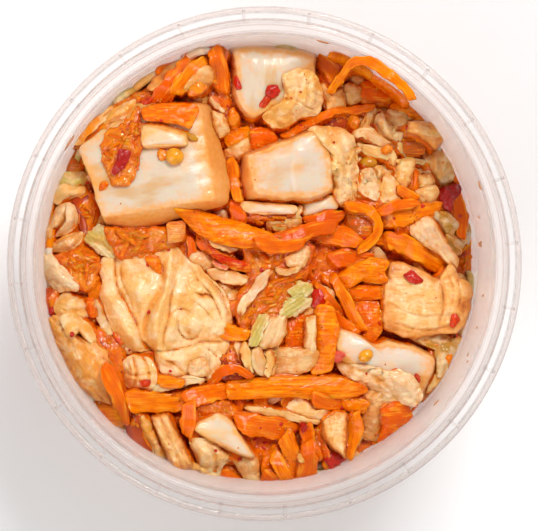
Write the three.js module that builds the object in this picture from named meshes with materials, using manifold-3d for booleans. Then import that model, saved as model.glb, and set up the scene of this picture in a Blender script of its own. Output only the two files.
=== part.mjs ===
// Kimchi in a round clear tub, seen ready to eat with the lid off: napa cabbage stems and leaves, carrot
// shreds, chilli flakes and mustard seeds in a heap that fills the tub and stands higher on the left.
// Millimetres, +Z up. The origin is the middle of the tub's base.
import * as THREE from "three";
import { mergeVertices } from "three/addons/utils/BufferGeometryUtils.js";
import Module from "manifold-3d";

const wasm = await Module();
wasm.setup();

// Tub
const TUB_HEIGHT = 66;
const MOUTH_RADIUS = 52.6;
const WALL = 0.9;
const FLOOR = 1.2;
const WALL_TAPER = 0.105;
const FOOT_ROUNDING = 1.5;
const RIM_RADIUS = 56.1;
const RIM_STEP_RADIUS = 54.6;
const RIM_STEP = 0.9;
const RIM_THICKNESS = 1.7;
const LIP_WALL = 0.8;
const LIP_DROP = 5.5;
const SKIRT_RADIUS = 59;
const SKIRT_FLANGE = 1.4;
const SKIRT_WALL = 0.9;
const SKIRT_TOP = 63.2;
const SKIRT_DEPTH = 7.2;
const BRIDGES = 24;
const BRIDGE_WIDTH = 0.7;
const BRIDGE_HEIGHT = 2;
const BRIDGE_TURN = THREE.MathUtils.degToRad(4.75);
const SIDES = 40;

// Heap: its bare core is highest at the left, where it comes close to the mouth
const CORE_EDGE = 48.5;
const CORE_LEAN_X = -6.5;
const CORE_LEAN_Y = 1;
const CORE_SADDLE = -1.5;
const CORE_DOME = 3;
const CORE_BUMP = 0.7;
const CORE_BUMP_LENGTH = 9;
const CORE_CELLS = 12;
const SKY = 120;
const STATIONS = 4;
const SAG = 0.25;
const END_DROP = 1.2;
const SETTLE = 0.75;
const SINK = 0.4;
const GAP = 0.35;
const ROOM = 0.5;
const BORDER = 0.99;

// Colours and finish
const FINISH = {
  tub: { color: 0xe9dfd8, roughness: 0.25, metalness: 0 },
  heap: { color: 0xd9731e, roughness: 0.45, metalness: 0 },
  stem: { color: 0xf0ddc0, roughness: 0.4, metalness: 0 },
  leaf: { color: 0xecc68a, roughness: 0.5, metalness: 0 },
  carrot: { color: 0xf08a1c, roughness: 0.45, metalness: 0 },
};

// ---- Solids ----

/** A closed three.js geometry as a solid that can be joined and cut. */
function solidOf(geometry) {
  const bare = new THREE.BufferGeometry();
  bare.setAttribute("position", geometry.getAttribute("position"));
  bare.setIndex(geometry.index);
  const merged = mergeVertices(bare, 1e-4);
  return new wasm.Manifold(
    new wasm.Mesh({
      numProp: 3,
      vertProperties: new Float32Array(merged.getAttribute("position").array),
      triVerts: new Uint32Array(merged.index.array),
    }),
  );
}

/** A solid as a three.js geometry. */
function geometryOf(solid) {
  const mesh = solid.getMesh();
  const geometry = new THREE.BufferGeometry();
  geometry.setAttribute("position", new THREE.BufferAttribute(mesh.vertProperties, 3));
  geometry.setIndex(new THREE.BufferAttribute(mesh.triVerts, 1));
  geometry.computeVertexNormals();
  return geometry;
}

/** The largest of a solid's separate bodies: what a cut leaves loose is dropped. */
function largestBody(solid) {
  const bodies = solid.decompose();
  return bodies.reduce((best, body) => (body.volume() > best.volume() ? body : best));
}

/**
 * A closed sheet. place(u, v, w) gives each point, with u and v from -1 to 1 across the sheet and w at 1 on
 * its upper face and -1 on its lower one. Both faces are split into triangles alike.
 */
function sheet(columns, rows, place) {
  const face = new THREE.PlaneGeometry(2, 2, columns, rows);
  const grid = face.getAttribute("position");
  const points = [];
  for (const w of [1, -1]) {
    for (let i = 0; i < grid.count; i += 1) {
      points.push(...place(grid.getX(i), grid.getY(i), w));
    }
  }
  const index = [];
  for (let i = 0; i < face.index.count; i += 3) {
    const [a, b, c] = face.index.array.slice(i, i + 3);
    index.push(a, b, c);
    index.push(c + grid.count, b + grid.count, a + grid.count);
  }
  const at = (column, row) => row * (columns + 1) + column;
  const border = [];
  for (let row = 0; row < rows; row += 1) border.push(at(0, row));
  for (let column = 0; column < columns; column += 1) border.push(at(column, rows));
  for (let row = rows; row > 0; row -= 1) border.push(at(columns, row));
  for (let column = columns; column > 0; column -= 1) border.push(at(column, 0));
  border.forEach((a, i) => {
    const b = border[(i + 1) % border.length];
    index.push(a, a + grid.count, b + grid.count);
    index.push(a, b + grid.count, b);
  });
  const geometry = new THREE.BufferGeometry();
  geometry.setAttribute("position", new THREE.Float32BufferAttribute(points, 3));
  geometry.setIndex(index);
  return geometry;
}

/** A profile of [radius, height] points turned round the tub's axis, which LatheGeometry takes as +Y. */
function turned(profile) {
  const closed = profile.map(([radius, height]) => new THREE.Vector2(radius, height));
  const geometry = new THREE.LatheGeometry(closed, SIDES);
  geometry.rotateX(Math.PI / 2);
  return geometry;
}

// ---- Tub ----

/** Inner radius of the tub's wall at a height. */
function wallRadius(height) {
  return MOUTH_RADIUS - (TUB_HEIGHT - height) * WALL_TAPER;
}

/** The tub's body with its stepped rim and the lip that hangs from it. */
function bodySolid() {
  const outer = (height) => wallRadius(height) + WALL;
  const underRim = TUB_HEIGHT - RIM_THICKNESS;
  const stepHeight = TUB_HEIGHT - RIM_STEP;
  const lipInner = RIM_RADIUS - LIP_WALL;
  return solidOf(
    turned([
      [0, 0],
      [outer(0) - FOOT_ROUNDING, 0],
      [outer(0) - FOOT_ROUNDING * 0.3, FOOT_ROUNDING * 0.3],
      [outer(FOOT_ROUNDING), FOOT_ROUNDING],
      [outer(underRim), underRim],
      [lipInner, underRim],
      [lipInner, TUB_HEIGHT - LIP_DROP],
      [RIM_RADIUS, TUB_HEIGHT - LIP_DROP],
      [RIM_RADIUS, stepHeight - LIP_WALL],
      [RIM_RADIUS - LIP_WALL, stepHeight],
      [RIM_STEP_RADIUS, stepHeight],
      [RIM_STEP_RADIUS - RIM_STEP / 3, TUB_HEIGHT],
      [MOUTH_RADIUS + WALL, TUB_HEIGHT],
      [MOUTH_RADIUS, TUB_HEIGHT - WALL],
      [wallRadius(FLOOR + FOOT_ROUNDING), FLOOR + FOOT_ROUNDING],
      [wallRadius(FLOOR) - FOOT_ROUNDING, FLOOR],
      [0, FLOOR],
    ]),
  );
}

/** The ring round the rim that keeps the lid shut until it is torn off. */
function skirtSolid() {
  const bottom = SKIRT_TOP - SKIRT_DEPTH;
  const underFlange = SKIRT_TOP - SKIRT_WALL;
  return solidOf(
    turned([
      [SKIRT_RADIUS - SKIRT_FLANGE, underFlange],
      [SKIRT_RADIUS - SKIRT_WALL, underFlange],
      [SKIRT_RADIUS - SKIRT_WALL, bottom],
      [SKIRT_RADIUS, bottom],
      [SKIRT_RADIUS, SKIRT_TOP - SKIRT_WALL / 2],
      [SKIRT_RADIUS - SKIRT_WALL / 2, SKIRT_TOP],
      [SKIRT_RADIUS - SKIRT_FLANGE, SKIRT_TOP],
      [SKIRT_RADIUS - SKIRT_FLANGE, underFlange],
    ]),
  );
}

/** One of the thin bridges that hold the skirt to the rim's lip. */
function bridgeSolid(number) {
  const inner = RIM_RADIUS - LIP_WALL / 2;
  const outer = SKIRT_RADIUS - SKIRT_FLANGE / 2;
  const bridge = new THREE.BoxGeometry(outer - inner, BRIDGE_WIDTH, BRIDGE_HEIGHT);
  bridge.translate((inner + outer) / 2, 0, SKIRT_TOP - SKIRT_WALL / 3 - BRIDGE_HEIGHT / 2);
  bridge.rotateZ(BRIDGE_TURN + (number * 2 * Math.PI) / BRIDGES);
  return solidOf(bridge);
}

/** The whole tub: body, rim, skirt and bridges in one moulding. */
function tubSolid() {
  let tub = bodySolid();
  tub = tub.add(skirtSolid());
  for (let number = 0; number < BRIDGES; number += 1) {
    tub = tub.add(bridgeSolid(number));
  }
  return tub;
}

/** The room inside the tub, a gap clear of its wall and floor, open upwards as far as the heap can reach. */
function cavitySolid() {
  const low = FLOOR + GAP;
  const knee = low + FOOT_ROUNDING;
  return solidOf(
    turned([
      [0, low],
      [wallRadius(low) - FOOT_ROUNDING - GAP, low],
      [wallRadius(knee) - GAP, knee],
      [MOUTH_RADIUS - GAP, TUB_HEIGHT - WALL],
      [MOUTH_RADIUS + WALL - GAP, TUB_HEIGHT],
      [MOUTH_RADIUS + WALL - GAP, SKY],
      [0, SKY],
    ]),
  );
}

// ---- Pile ----

/** Height of the bare core's uneven top. */
function coreTop(x, y) {
  const [u, v] = [x / MOUTH_RADIUS, y / MOUTH_RADIUS];
  const dome = CORE_DOME * (1 - u * u - v * v);
  const saddle = CORE_SADDLE * (u * u - v * v);
  const bump = CORE_BUMP * Math.sin((2 * x) / CORE_BUMP_LENGTH) * Math.cos((2 * y + x) / CORE_BUMP_LENGTH);
  return CORE_EDGE + CORE_LEAN_X * u + CORE_LEAN_Y * v + dome + saddle + bump;
}

/** The core: a disc that fills the tub up to coreTop. */
function coreSheet() {
  return sheet(CORE_CELLS, CORE_CELLS, (u, v, w) => {
    const x = MOUTH_RADIUS * u * Math.sqrt(1 - (v * v) / 2);
    const y = MOUTH_RADIUS * v * Math.sqrt(1 - (u * u) / 2);
    return [x, y, w > 0 ? coreTop(x, y) : 0];
  });
}

const HEAP = "kimchi_heap";
const DOWN = new THREE.Vector3(0, 0, -1);
const placed = [];

/** Height at which a piece of a node comes to lie at x, y: a little into its own node, a gap above others. */
function pileTop(x, y, node) {
  const ray = new THREE.Raycaster(new THREE.Vector3(x, y, SKY), DOWN);
  const hit = ray.intersectObjects(placed, false)[0];
  if (!hit) return coreTop(x, y) - SINK;
  return hit.point.z + (hit.object.userData.node === node ? -SINK : GAP);
}

/** Adds a finished piece to the pile, so that what comes later lies on it. */
function lay(node, geometry) {
  const mesh = new THREE.Mesh(geometry);
  mesh.userData.node = node;
  mesh.updateMatrixWorld();
  placed.push(mesh);
}

/** How far a stiff piece drops: SETTLE of its underside ends above the pile, and the rest beds in. */
function restingHeight(place, node) {
  const steps = [-0.9, -0.45, 0, 0.45, 0.9];
  const lifts = [];
  for (const u of steps) {
    for (const v of steps) {
      const [x, y, z] = place(u, v, -1);
      lifts.push(pileTop(x, y, node) - z);
    }
  }
  lifts.sort((a, b) => a - b);
  return lifts[Math.floor(lifts.length * SETTLE)];
}

/** Heights along a shred: it follows the pile but spans its hollows. */
function spanHeights(heights) {
  const z = [...heights];
  for (let pass = 0; pass < 4 * z.length; pass += 1) {
    for (let i = 1; i < z.length - 1; i += 1) {
      z[i] = Math.max(z[i], (z[i - 1] + z[i + 1]) / 2 - SAG);
    }
    z[0] = Math.max(z[0], z[1] - END_DROP);
    z[z.length - 1] = Math.max(z[z.length - 1], z[z.length - 2] - END_DROP);
  }
  return z;
}

// ---- Kinds of piece ----

/**
 * A cut piece of cabbage or carrot, or a leaf. corners are its four corners from above, counter-clockwise from
 * lower left. round pulls them in towards an oval, flare slopes the cut sides outwards, crown bows it up in the
 * middle, tilt is its slope along x and y, and ripple and lobes wave its face and its edge.
 */
function cutPiece(piece) {
  const { corners, thick, round = 0.2, flare = 0, crown = 0, tilt = [0, 0] } = piece;
  const { ripple = 0, waves = [1.5, 1.5], lobes = 0, lobeCount = 5, cells = [2, 2] } = piece;
  const [sw, se, ne, nw] = corners;
  const middle = [0, 1].map((i) => (sw[i] + se[i] + ne[i] + nw[i]) / 4);
  const diagonals = [Math.hypot(ne[0] - sw[0], ne[1] - sw[1]), Math.hypot(nw[0] - se[0], nw[1] - se[1])];
  const halfSize = (diagonals[0] + diagonals[1]) / 4;
  const place = (height, grow) => (u, v, w) => {
    const p = u * Math.sqrt(1 - (round * v * v) / 2);
    const q = v * Math.sqrt(1 - (round * u * u) / 2);
    const edge = Math.max(Math.abs(u), Math.abs(v));
    const lobed = 1 + lobes * edge * Math.sin(lobeCount * Math.atan2(v, u));
    const sloped = 1 - (flare * (1 + w)) / 2;
    const outward = edge > BORDER ? (grow * Math.SQRT2) / halfSize : 0;
    const spread = lobed * sloped + outward;
    const [x, y] = [0, 1].map((i) => {
      const low = sw[i] * (1 - p) + se[i] * (1 + p);
      const high = nw[i] * (1 - p) + ne[i] * (1 + p);
      const flat = (low * (1 - q) + high * (1 + q)) / 4;
      return middle[i] + (flat - middle[i]) * spread;
    });
    const slope = tilt[0] * (x - middle[0]) + tilt[1] * (y - middle[1]);
    const bow = crown * (1 - (p * p + q * q) / 2);
    const wave = ripple * Math.sin(waves[0] * Math.PI * u + 1) * Math.cos(waves[1] * Math.PI * v);
    return [x, y, height + slope + bow + wave + w * (thick / 2 + grow)];
  };
  const height = restingHeight(place(0, 0), piece.node);
  return {
    body: sheet(...cells, place(height, 0)),
    room: sheet(...cells, place(height, ROOM)),
  };
}

/**
 * A shred or strip: a flat bar that bends along its path over whatever lies under it. Where its points have a
 * third coordinate, they hold its underside at that height.
 */
function shred(piece) {
  const { path, width, thick = 1.8, taper = 0.25, stationCount = STATIONS } = piece;
  const held = path[0].length > 2;
  const curve = new THREE.CatmullRomCurve3(path.map(([x, y, z = 0]) => new THREE.Vector3(x, y, z)));
  const stations = [];
  for (let i = 0; i <= stationCount; i += 1) {
    const at = curve.getPoint(i / stationCount);
    const along = curve.getTangent(i / stationCount).setZ(0).normalize();
    const half = (width / 2) * (1 - taper * Math.abs((2 * i) / stationCount - 1) ** 2);
    stations.push({ at, side: [-along.y, along.x], half });
  }
  const supports = stations.map(({ at, side, half }) => {
    const under = [-0.7, 0, 0.7].map((s) =>
      pileTop(at.x + side[0] * half * s, at.y + side[1] * half * s, piece.node),
    );
    return Math.max(...under);
  });
  const heights = held ? stations.map(({ at }) => at.z) : spanHeights(supports);
  const place = (grow) => (u, v, w) => {
    const i = Math.round(((u + 1) / 2) * stationCount);
    const { at, side, half } = stations[i];
    const reach = v * (half + grow);
    const onward = Math.abs(u) > BORDER ? grow * u : 0;
    const x = at.x + side[0] * reach + side[1] * onward;
    const y = at.y + side[1] * reach - side[0] * onward;
    return [x, y, heights[i] + thick / 2 + w * (thick / 2 + grow)];
  };
  return {
    body: sheet(stationCount, 1, place(0)),
    room: sheet(stationCount, 1, place(ROOM)),
  };
}

/** A mustard seed or a bead of sauce. */
function bead(piece) {
  const [x, y] = piece.at;
  const [length, width, height] = piece.size.map((s) => s / 2);
  const ball = (grow) => {
    const geometry = new THREE.IcosahedronGeometry(1, 1);
    geometry.scale(length + grow, width + grow, height + grow);
    geometry.rotateZ(THREE.MathUtils.degToRad(piece.turn ?? 0));
    geometry.translate(x, y, pileTop(x, y, piece.node) + height * 0.8);
    const bare = new THREE.BufferGeometry();
    bare.setAttribute("position", geometry.getAttribute("position"));
    return mergeVertices(bare);
  };
  return { body: ball(0), room: ball(ROOM) };
}

const KINDS = { cutPiece, shred, bead };

// ---- What is in the tub, from the bottom of the pile to its top ----

const SLAB = "stem_slab_upper_left";
const TOP_STEM = "stem_leaf_top";
const MIDDLE_STEM = "stem_leaf_middle";
const CRUMPLED = "leaf_crumpled";
const FRILLED_STEM = "stem_frilled_lower_right";
const LOBED_STEM = "stem_lobed_right";
const LOWER_LEFT_SLAB = "stem_slab_lower_left";
const LEFT_LEAF = "leaf_left";
const LOWER_BAR = "carrot_bar_lower";
const MOUTH_CARROT = "carrot_lower_left";

const bar = (finish, node, path, width, thick) => ({ kind: "shred", finish, node, path, width, thick });
const carrot = (path, width, thick, node = HEAP) => bar("carrot", node, path, width, thick);
const strip = (path, width, thick) => bar("stem", HEAP, path, width, thick);
const cut = (node, corners, thick, more = {}) => {
  return { kind: "cutPiece", finish: "stem", node, corners, thick, ...more };
};
const leaf = (node, corners, more = {}) => ({
  kind: "cutPiece",
  finish: "leaf",
  node,
  corners,
  thick: 1.2,
  round: 0.6,
  ripple: 1,
  lobes: 0.06,
  cells: [3, 3],
  ...more,
});
const flake = (node, corners) => cut(node, corners, 0.9, { round: 0.3, cells: [1, 1] });
const seed = (node, at, size, turn = 0) => ({ kind: "bead", finish: "carrot", node, at, size, turn });
const lump = (corners, thick) => cut(HEAP, corners, thick, { round: 0.4, cells: [1, 1] });

const ARCH = [
  [15, 39.6, 53.5],
  [17.6, 43, 58.5],
  [20.4, 46, 63],
  [24, 45.9, 65],
  [28, 43.4, 65],
  [31.8, 40.3, 64.3],
  [34, 37.4, 63],
];

const PIECES = [
  // Where the heap is banked up against the wall
  lump([[-51, -5], [-43.5, -5], [-43, 14], [-50, 15]], 3.5),
  lump([[-43, -34], [-31, -40], [-31, -27], [-42, -26]], 6),

  // Against the wall and low down
  strip([[-35.5, 33], [-32.5, 35.2], [-29, 37.6]], 3.4, 1.6),
  strip([[-26, 40], [-22, 43], [-17.5, 46.5]], 3.2, 1.6),
  carrot([[-51.8, 8.5], [-50.2, 14.5], [-46.8, 17.5]], 3, 1.8),
  carrot([[41.5, 28], [44, 25], [46.5, 19]], 2.2, 1.6),
  carrot([[45, 15], [46.8, 10], [46.8, 5]], 3.4, 1.8),
  carrot([[-10, -47.5], [-7, -48], [-3.5, -49.5]], 3.6, 2),
  carrot([[3, -44.5], [4.5, -49], [6.5, -51.5]], 3, 2),
  carrot([[12.5, -44.5], [16, -47], [13, -49]], 3, 2),
  leaf(HEAP, [[-27, -37], [-22, -46.5], [-19.5, -45], [-24, -36]], { cells: [3, 3] }),
  strip([[45, -16.5], [43, -23.5], [40, -28], [35.5, -35]], 2.6, 1.6),

  // Upper left and top
  carrot([[-23, 35.5], [-16.5, 41.5], [-9.5, 47.5]], 6, 2.4),
  carrot([[-8.5, 27.5], [-6, 28.5], [-3.5, 29.5]], 4.6, 2),
  carrot([[-7.4, 23.5], [-6.8, 19], [-6.4, 14.5]], 2.6, 2),
  carrot([[11.5, 46.5], [15, 44.5], [18, 42]], 4.4, 2),
  cut(HEAP, [[17.5, 37.5], [22, 37.5], [23.5, 44], [20, 45]], 2.4, { crown: 0.6 }),
  carrot([[21.5, 38.5], [26.5, 40.5], [33.5, 37.5]], 4.8, 2.2),
  cut("stem_upper_right", [[31.5, 29], [42, 26], [43.5, 34], [31.5, 39]], 11, {
    crown: 0.8,
    round: 0.35,
    cells: [3, 3],
  }),
  carrot([[31, 37], [36.5, 36.5], [41.8, 33.5]], 4.4, 2.4, "carrot_upper_right"),

  // Right
  cut(HEAP, [[34.5, 17], [37.5, 17.5], [38.5, 22], [35.5, 22.5]], 2, {}),
  cut(HEAP, [[35.5, 14.5], [40.5, 15.5], [40.5, 18], [35.5, 18]], 2.4, { crown: 0.5 }),
  cut(HEAP, [[32.5, 17.5], [34, 17.5], [35.5, 25], [31.5, 25]], 2.4, { crown: 0.5 }),
  leaf("leaf_fan_right", [[38, 18], [43.5, 18], [45.5, 24], [36, 26]], { ripple: 0.7, waves: [3, 1] }),
  cut(HEAP, [[41.5, 12], [44, 12.5], [46, 18], [41, 17.5]], 1.2, { crown: 0.6 }),
  leaf(HEAP, [[39.5, 3.5], [45.5, 3], [44.5, 12], [39.5, 12.5]], { cells: [3, 3] }),
  cut(HEAP, [[42.5, 1], [45.5, 0], [40, 9], [35, 9.5]], 3, { crown: 0.8 }),

  // Lower left and left
  carrot([[-36, -25], [-33.5, -31], [-32.5, -36.5]], 3.4, 2.2, MOUTH_CARROT),
  carrot([[-41.3, -33.6, 63.5], [-37.5, -34.8, 61.8], [-33.3, -35.6, 60.2]], 5.4, 2, MOUTH_CARROT),
  cut(LOWER_LEFT_SLAB, [[-40, -31.5], [-33.8, -31], [-43.5, -11], [-49.5, -12.5]], 5.5, {
    crown: 1,
    flare: 0.06,
    cells: [2, 4],
  }),
  leaf(HEAP, [[-47, -13.5], [-40, -13.5], [-39.5, -7], [-46.5, -6.5]], { crown: 2, thick: 1.6 }),
  leaf(LOWER_LEFT_SLAB, [[-42.5, -19.5], [-38.5, -18.5], [-40.5, -12], [-46, -12]], { crown: 1 }),
  strip([[-38.5, -8.5], [-37.5, -13], [-35, -17]], 2, 1.6),
  leaf(LEFT_LEAF, [[-51, -6], [-43.5, -5.5], [-42, 15], [-49.5, 15.5]], {
    thick: 2,
    ripple: 1.3,
    waves: [1, 2.5],
    crown: 1.5,
    cells: [4, 8],
  }),
  leaf(HEAP, [[-48, 17], [-41, 15.5], [-41, 21], [-47.5, 21]], { ripple: 0.8, thick: 1.4, cells: [4, 3] }),
  cut(LEFT_LEAF, [[-48.5, 0.5], [-40, -6], [-37.5, 1.5], [-42.5, 4.5]], 2.4, { crown: 1, round: 0.6 }),
  cut(HEAP, [[-36.5, 1.5], [-33.5, 1.5], [-36.5, 8.5], [-41.5, 5.5]], 2.4, { crown: 0.6 }),
  carrot([[-36.5, 7.5], [-29.5, 5], [-22.5, 7]], 5, 2.2),

  // The large stems
  cut(TOP_STEM, [[-6.2, 34], [13, 33.5], [12, 49], [-9, 50.5]], 7, { crown: 1.6, round: 0.3, cells: [4, 4] }),
  leaf(TOP_STEM, [[0, 31], [14, 31.5], [13.5, 42.5], [1.5, 36]], { thick: 1.6, crown: 0.8 }),
  flake(TOP_STEM, [[-6.8, 39.6], [-5, 40.2], [-6.3, 43.4], [-6.9, 42]]),
  flake(TOP_STEM, [[0.4, 38], [3, 38.4], [3.4, 41], [0.6, 41]]),
  cut(SLAB, [[-37, 8.5], [-7.6, 13.6], [-13, 37.3], [-41.5, 31.5]], 6.5, {
    crown: 1.3,
    flare: 0.1,
    round: 0.15,
    tilt: [0.04, -0.06],
    cells: [5, 5],
  }),
  cut(MIDDLE_STEM, [[-5.8, 11.2], [7.8, 11.4], [8, 16], [-6, 15.5]], 2.2, { round: 0.1 }),
  cut(MIDDLE_STEM, [[8.4, 9.4], [17, 12.6], [16, 17], [7.2, 15.4]], 2.6, { round: 0.15 }),
  cut(MIDDLE_STEM, [[-5.2, 14.2], [16.2, 16], [11.5, 31], [-5.6, 26]], 7, {
    crown: 1.8,
    round: 0.25,
    cells: [4, 4],
  }),
  leaf(MIDDLE_STEM, [[14.5, 14], [22.2, 14], [22.2, 29], [8.5, 31.5]], {
    thick: 2,
    crown: 1.2,
    cells: [5, 5],
  }),

  // Between the stems
  carrot([[4.6, 29.8], [12.7, 33.2], [19.6, 35.6], [27.6, 37.3], [32, 38]], 1.8, 1.5, "carrot_long_top"),
  cut(HEAP, [[27, 31], [32.5, 31.2], [32, 35.5], [27.5, 35.5]], 2.2, { crown: 0.5 }),
  leaf(HEAP, [[21.5, 28], [26.5, 28.5], [26.5, 36.5], [24, 37]], { cells: [4, 4] }),
  leaf(HEAP, [[26.5, 27], [31.5, 26.5], [33.5, 31], [26, 33]], { thick: 1.6, cells: [4, 4] }),
  strip([[21.5, 28.2], [26, 25], [30.5, 22.8]], 2.4, 1.8),
  leaf(HEAP, [[22.2, 13.5], [26.5, 13.8], [27, 21.5], [22.5, 21.5]], { thick: 1.8, cells: [4, 4] }),
  leaf(HEAP, [[27.2, 13.5], [31, 14], [30.5, 21.5], [27.5, 21]], { thick: 1.6, cells: [3, 4] }),

  // Middle and right
  carrot([[26, 10.5], [33, 11.8], [41, 13.6]], 6, 2.2),
  cut(LOBED_STEM, [[29, -16.8], [47.3, -17.5], [50, -1], [27.5, -0.5]], 5.5, {
    round: 0.65,
    crown: 1.6,
    lobes: 0.05,
    cells: [5, 5],
  }),
  flake(LOBED_STEM, [[35.2, -4.6], [37.6, -4.6], [34.3, -1.8], [32.7, -3.2]]),
  flake(LOBED_STEM, [[43.5, -15], [45.7, -14.2], [45, -11.6], [44, -12]]),
  carrot([[28, 5.5], [35.5, 2.8], [43, -1.4]], 4.2, 2.2),
  carrot([[18.5, 1], [24.5, -2], [29, -7]], 7, 2),
  carrot([[2, 6], [11, 4.2], [20, 4.5]], 5, 2.2),
  cut(FRILLED_STEM, [[18, -24.5], [38.8, -32], [40.6, -19.5], [16.3, -13.8]], 6.5, {
    crown: 1.6,
    round: 0.25,
    cells: [4, 4],
  }),
  leaf(FRILLED_STEM, [[20.5, -28.5], [35.5, -33.8], [36, -27], [18.5, -22.5]], { thick: 1.6, cells: [6, 3] }),
  flake(FRILLED_STEM, [[15.8, -22], [19, -21.5], [18.8, -19.6], [16, -19.6]]),
  seed(FRILLED_STEM, [23.5, -20.7], [3.3, 2.5, 2.4], 25),
  flake(FRILLED_STEM, [[35.5, -27], [36.5, -27], [36.3, -25], [35.3, -25.4]]),
  carrot([[14.5, -3.5], [18.5, -9], [20, -14.5]], 2.6, 1.8),
  carrot([[17.5, -4.5], [21.5, -10.5], [24.5, -18.5]], 5, 2.2, "carrot_broad_right"),
  carrot([[13.8, -8.5], [15, -18], [12.5, -25]], 4.8, 3),
  carrot([[8, -12.5], [7.6, -18.5], [7, -25]], 4.2, 2),
  strip([[11, -5], [7.6, -8.5], [3.4, -12]], 3, 1.8),
  strip([[3, -12.5], [1.8, -16], [1.2, -19]], 3.4, 1.8),
  strip([[-1, -12.8], [-2, -15.5], [-2.8, -18.2]], 2, 1.6),
  cut(HEAP, [[-0.5, -26], [9, -26], [12, -20.2], [0, -18.5]], 2, { crown: 0.6 }),
  strip([[-1.6, -18.8], [-1.4, -22.5], [-0.6, -25.8]], 2.8, 1.8),
  carrot([[-11, -16], [-7, -15.6], [-3.5, -15]], 3.2, 2),
  strip([[1.8, -2], [-2.5, -6.5], [-5.4, -12]], 2, 1.8),
  strip([[-12, -2], [-8, -4.2], [-4.5, -5.6]], 2.6, 1.8),
  cut(HEAP, [[-13, -2.6], [-7, -2.6], [-6.5, 4], [-12.5, 3.5]], 1.6, { round: 0.7, crown: 0.6 }),
  cut(HEAP, [[-3, -11], [5, -11], [8, 3], [0, 4]], 2, { round: 0.6, crown: 1 }),
  cut(HEAP, [[6.5, -2.5], [9.5, -1], [10.2, 4], [4.8, 0.6]], 1.6, { crown: 0.6 }),
  carrot([[12.5, 8.5], [17, 11], [23.5, 13], [26.3, 10.5], [25, 6], [21.5, 3.2]], 1.9, 2.4),
  carrot([[-22, 13.4], [-5.6, 8.8], [9.4, 4.7]], 4.3, 2.4, "carrot_bar_middle"),

  // The crumpled leaf and what lies below it
  leaf(CRUMPLED, [[-35, -27], [-10, -30], [-6.5, 3.5], [-38.5, 4.5]], {
    thick: 3,
    crown: 4,
    ripple: 1.2,
    waves: [1.8, 1.6],
    round: 0.75,
    lobes: 0.05,
    lobeCount: 7,
    cells: [9, 10],
  }),
  leaf(CRUMPLED, [[-33.5, -29.5], [-26, -29.5], [-25.5, -21], [-33.5, -21]], { thick: 1.8, crown: 1 }),
  flake(CRUMPLED, [[-28.6, -28.4], [-26.2, -28.4], [-26, -26.8], [-28.4, -26.6]]),
  carrot([[-30.5, -31.5], [-20, -30.5], [-8.5, -29.5]], 5, 2.2),
  carrot([[-16, -31], [-18, -35], [-18.5, -40]], 4.6, 2),
  carrot([[-8.8, -29.6], [8.2, -28.7], [23.9, -28.9]], 5.2, 2.6, LOWER_BAR),
  carrot([[12, -31], [16.5, -32.5], [20, -31.5]], 4, 2, LOWER_BAR),
  cut(HEAP, [[4.5, -36], [12.5, -37], [15, -33], [8, -30.5]], 2.4, { crown: 0.8 }),
  strip([[-4.5, -33.8], [3.6, -35.2], [9, -36]], 1.5, 1.5),
  carrot([[-7.5, -36.5], [0.5, -37.5], [7, -40]], 5, 2.4),
  carrot([[20, -35], [20.4, -40], [19.6, -45.5]], 3, 2.4),
  carrot([[12.5, -37.5], [13.5, -41], [14, -45]], 2.6, 2),
  carrot([[8.5, -38.5], [10.5, -44.5], [8.5, -50.5]], 4.4, 2.4),
  carrot([[-2.5, -44], [2, -42.5], [6, -44]], 3.4, 2),
  cut("stem_stick_bottom", [[-20.2, -48.4], [-16.6, -46.8], [-22.4, -34.4], [-26.5, -35]], 4.5, {
    cells: [2, 3],
  }),
  leaf("leaf_frill_bottom", [[-15.8, -50.4], [-11.2, -51], [-7, -44.6], [-17.2, -40.4]], {
    thick: 1.6,
    ripple: 0.8,
  }),
  cut(HEAP, [[-1.6, -51], [-0.8, -50.5], [-1.2, -45], [-7.2, -45]], 1.6, {}),
  cut("stem_wedge_bottom", [[-9.6, -42.3], [-1.2, -44.6], [-8.4, -34], [-17, -37.6]], 3, { round: 0.1, flare: 0.05 }),
  cut("stem_block_bottom", [[14.4, -43.5], [19.2, -46.6], [20.1, -35.4], [14.6, -34.8]], 4.5, { flare: 0.06 }),
  flake(HEAP, [[13.5, -45], [15.4, -47.6], [19, -45.6], [16, -43.4]]),

  // On top of the largest slab
  cut(SLAB, [[-35, 19], [-30, 16.5], [-28, 30.5], [-36, 30]], 1.3, { round: 0.6, crown: 0.5 }),
  flake(SLAB, [[-35, 20.4], [-33, 20.6], [-30.8, 26], [-32.8, 26.2]]),
  cut("carrot_on_slab", [[-28, 32.8], [-16.6, 30.8], [-15.4, 37], [-28.4, 37]], 2.2, { finish: "carrot", crown: 0.5 }),
  cut("stem_stick_on_slab", [[-28.6, 26.4], [-17.4, 26.6], [-17.2, 29.8], [-28.8, 31.6]], 2.8, { flare: 0.06 }),
  seed(SLAB, [-21, 24.4], [4, 3.4, 3]),
  seed(HEAP, [24, 23.4], [3.8, 3.4, 3]),

  // The long carrot that arches up to the mouth of the tub
  { ...carrot(ARCH, 3.4, 2, "carrot_arch"), stationCount: 8 },
];

// ---- Putting it together ----

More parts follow.
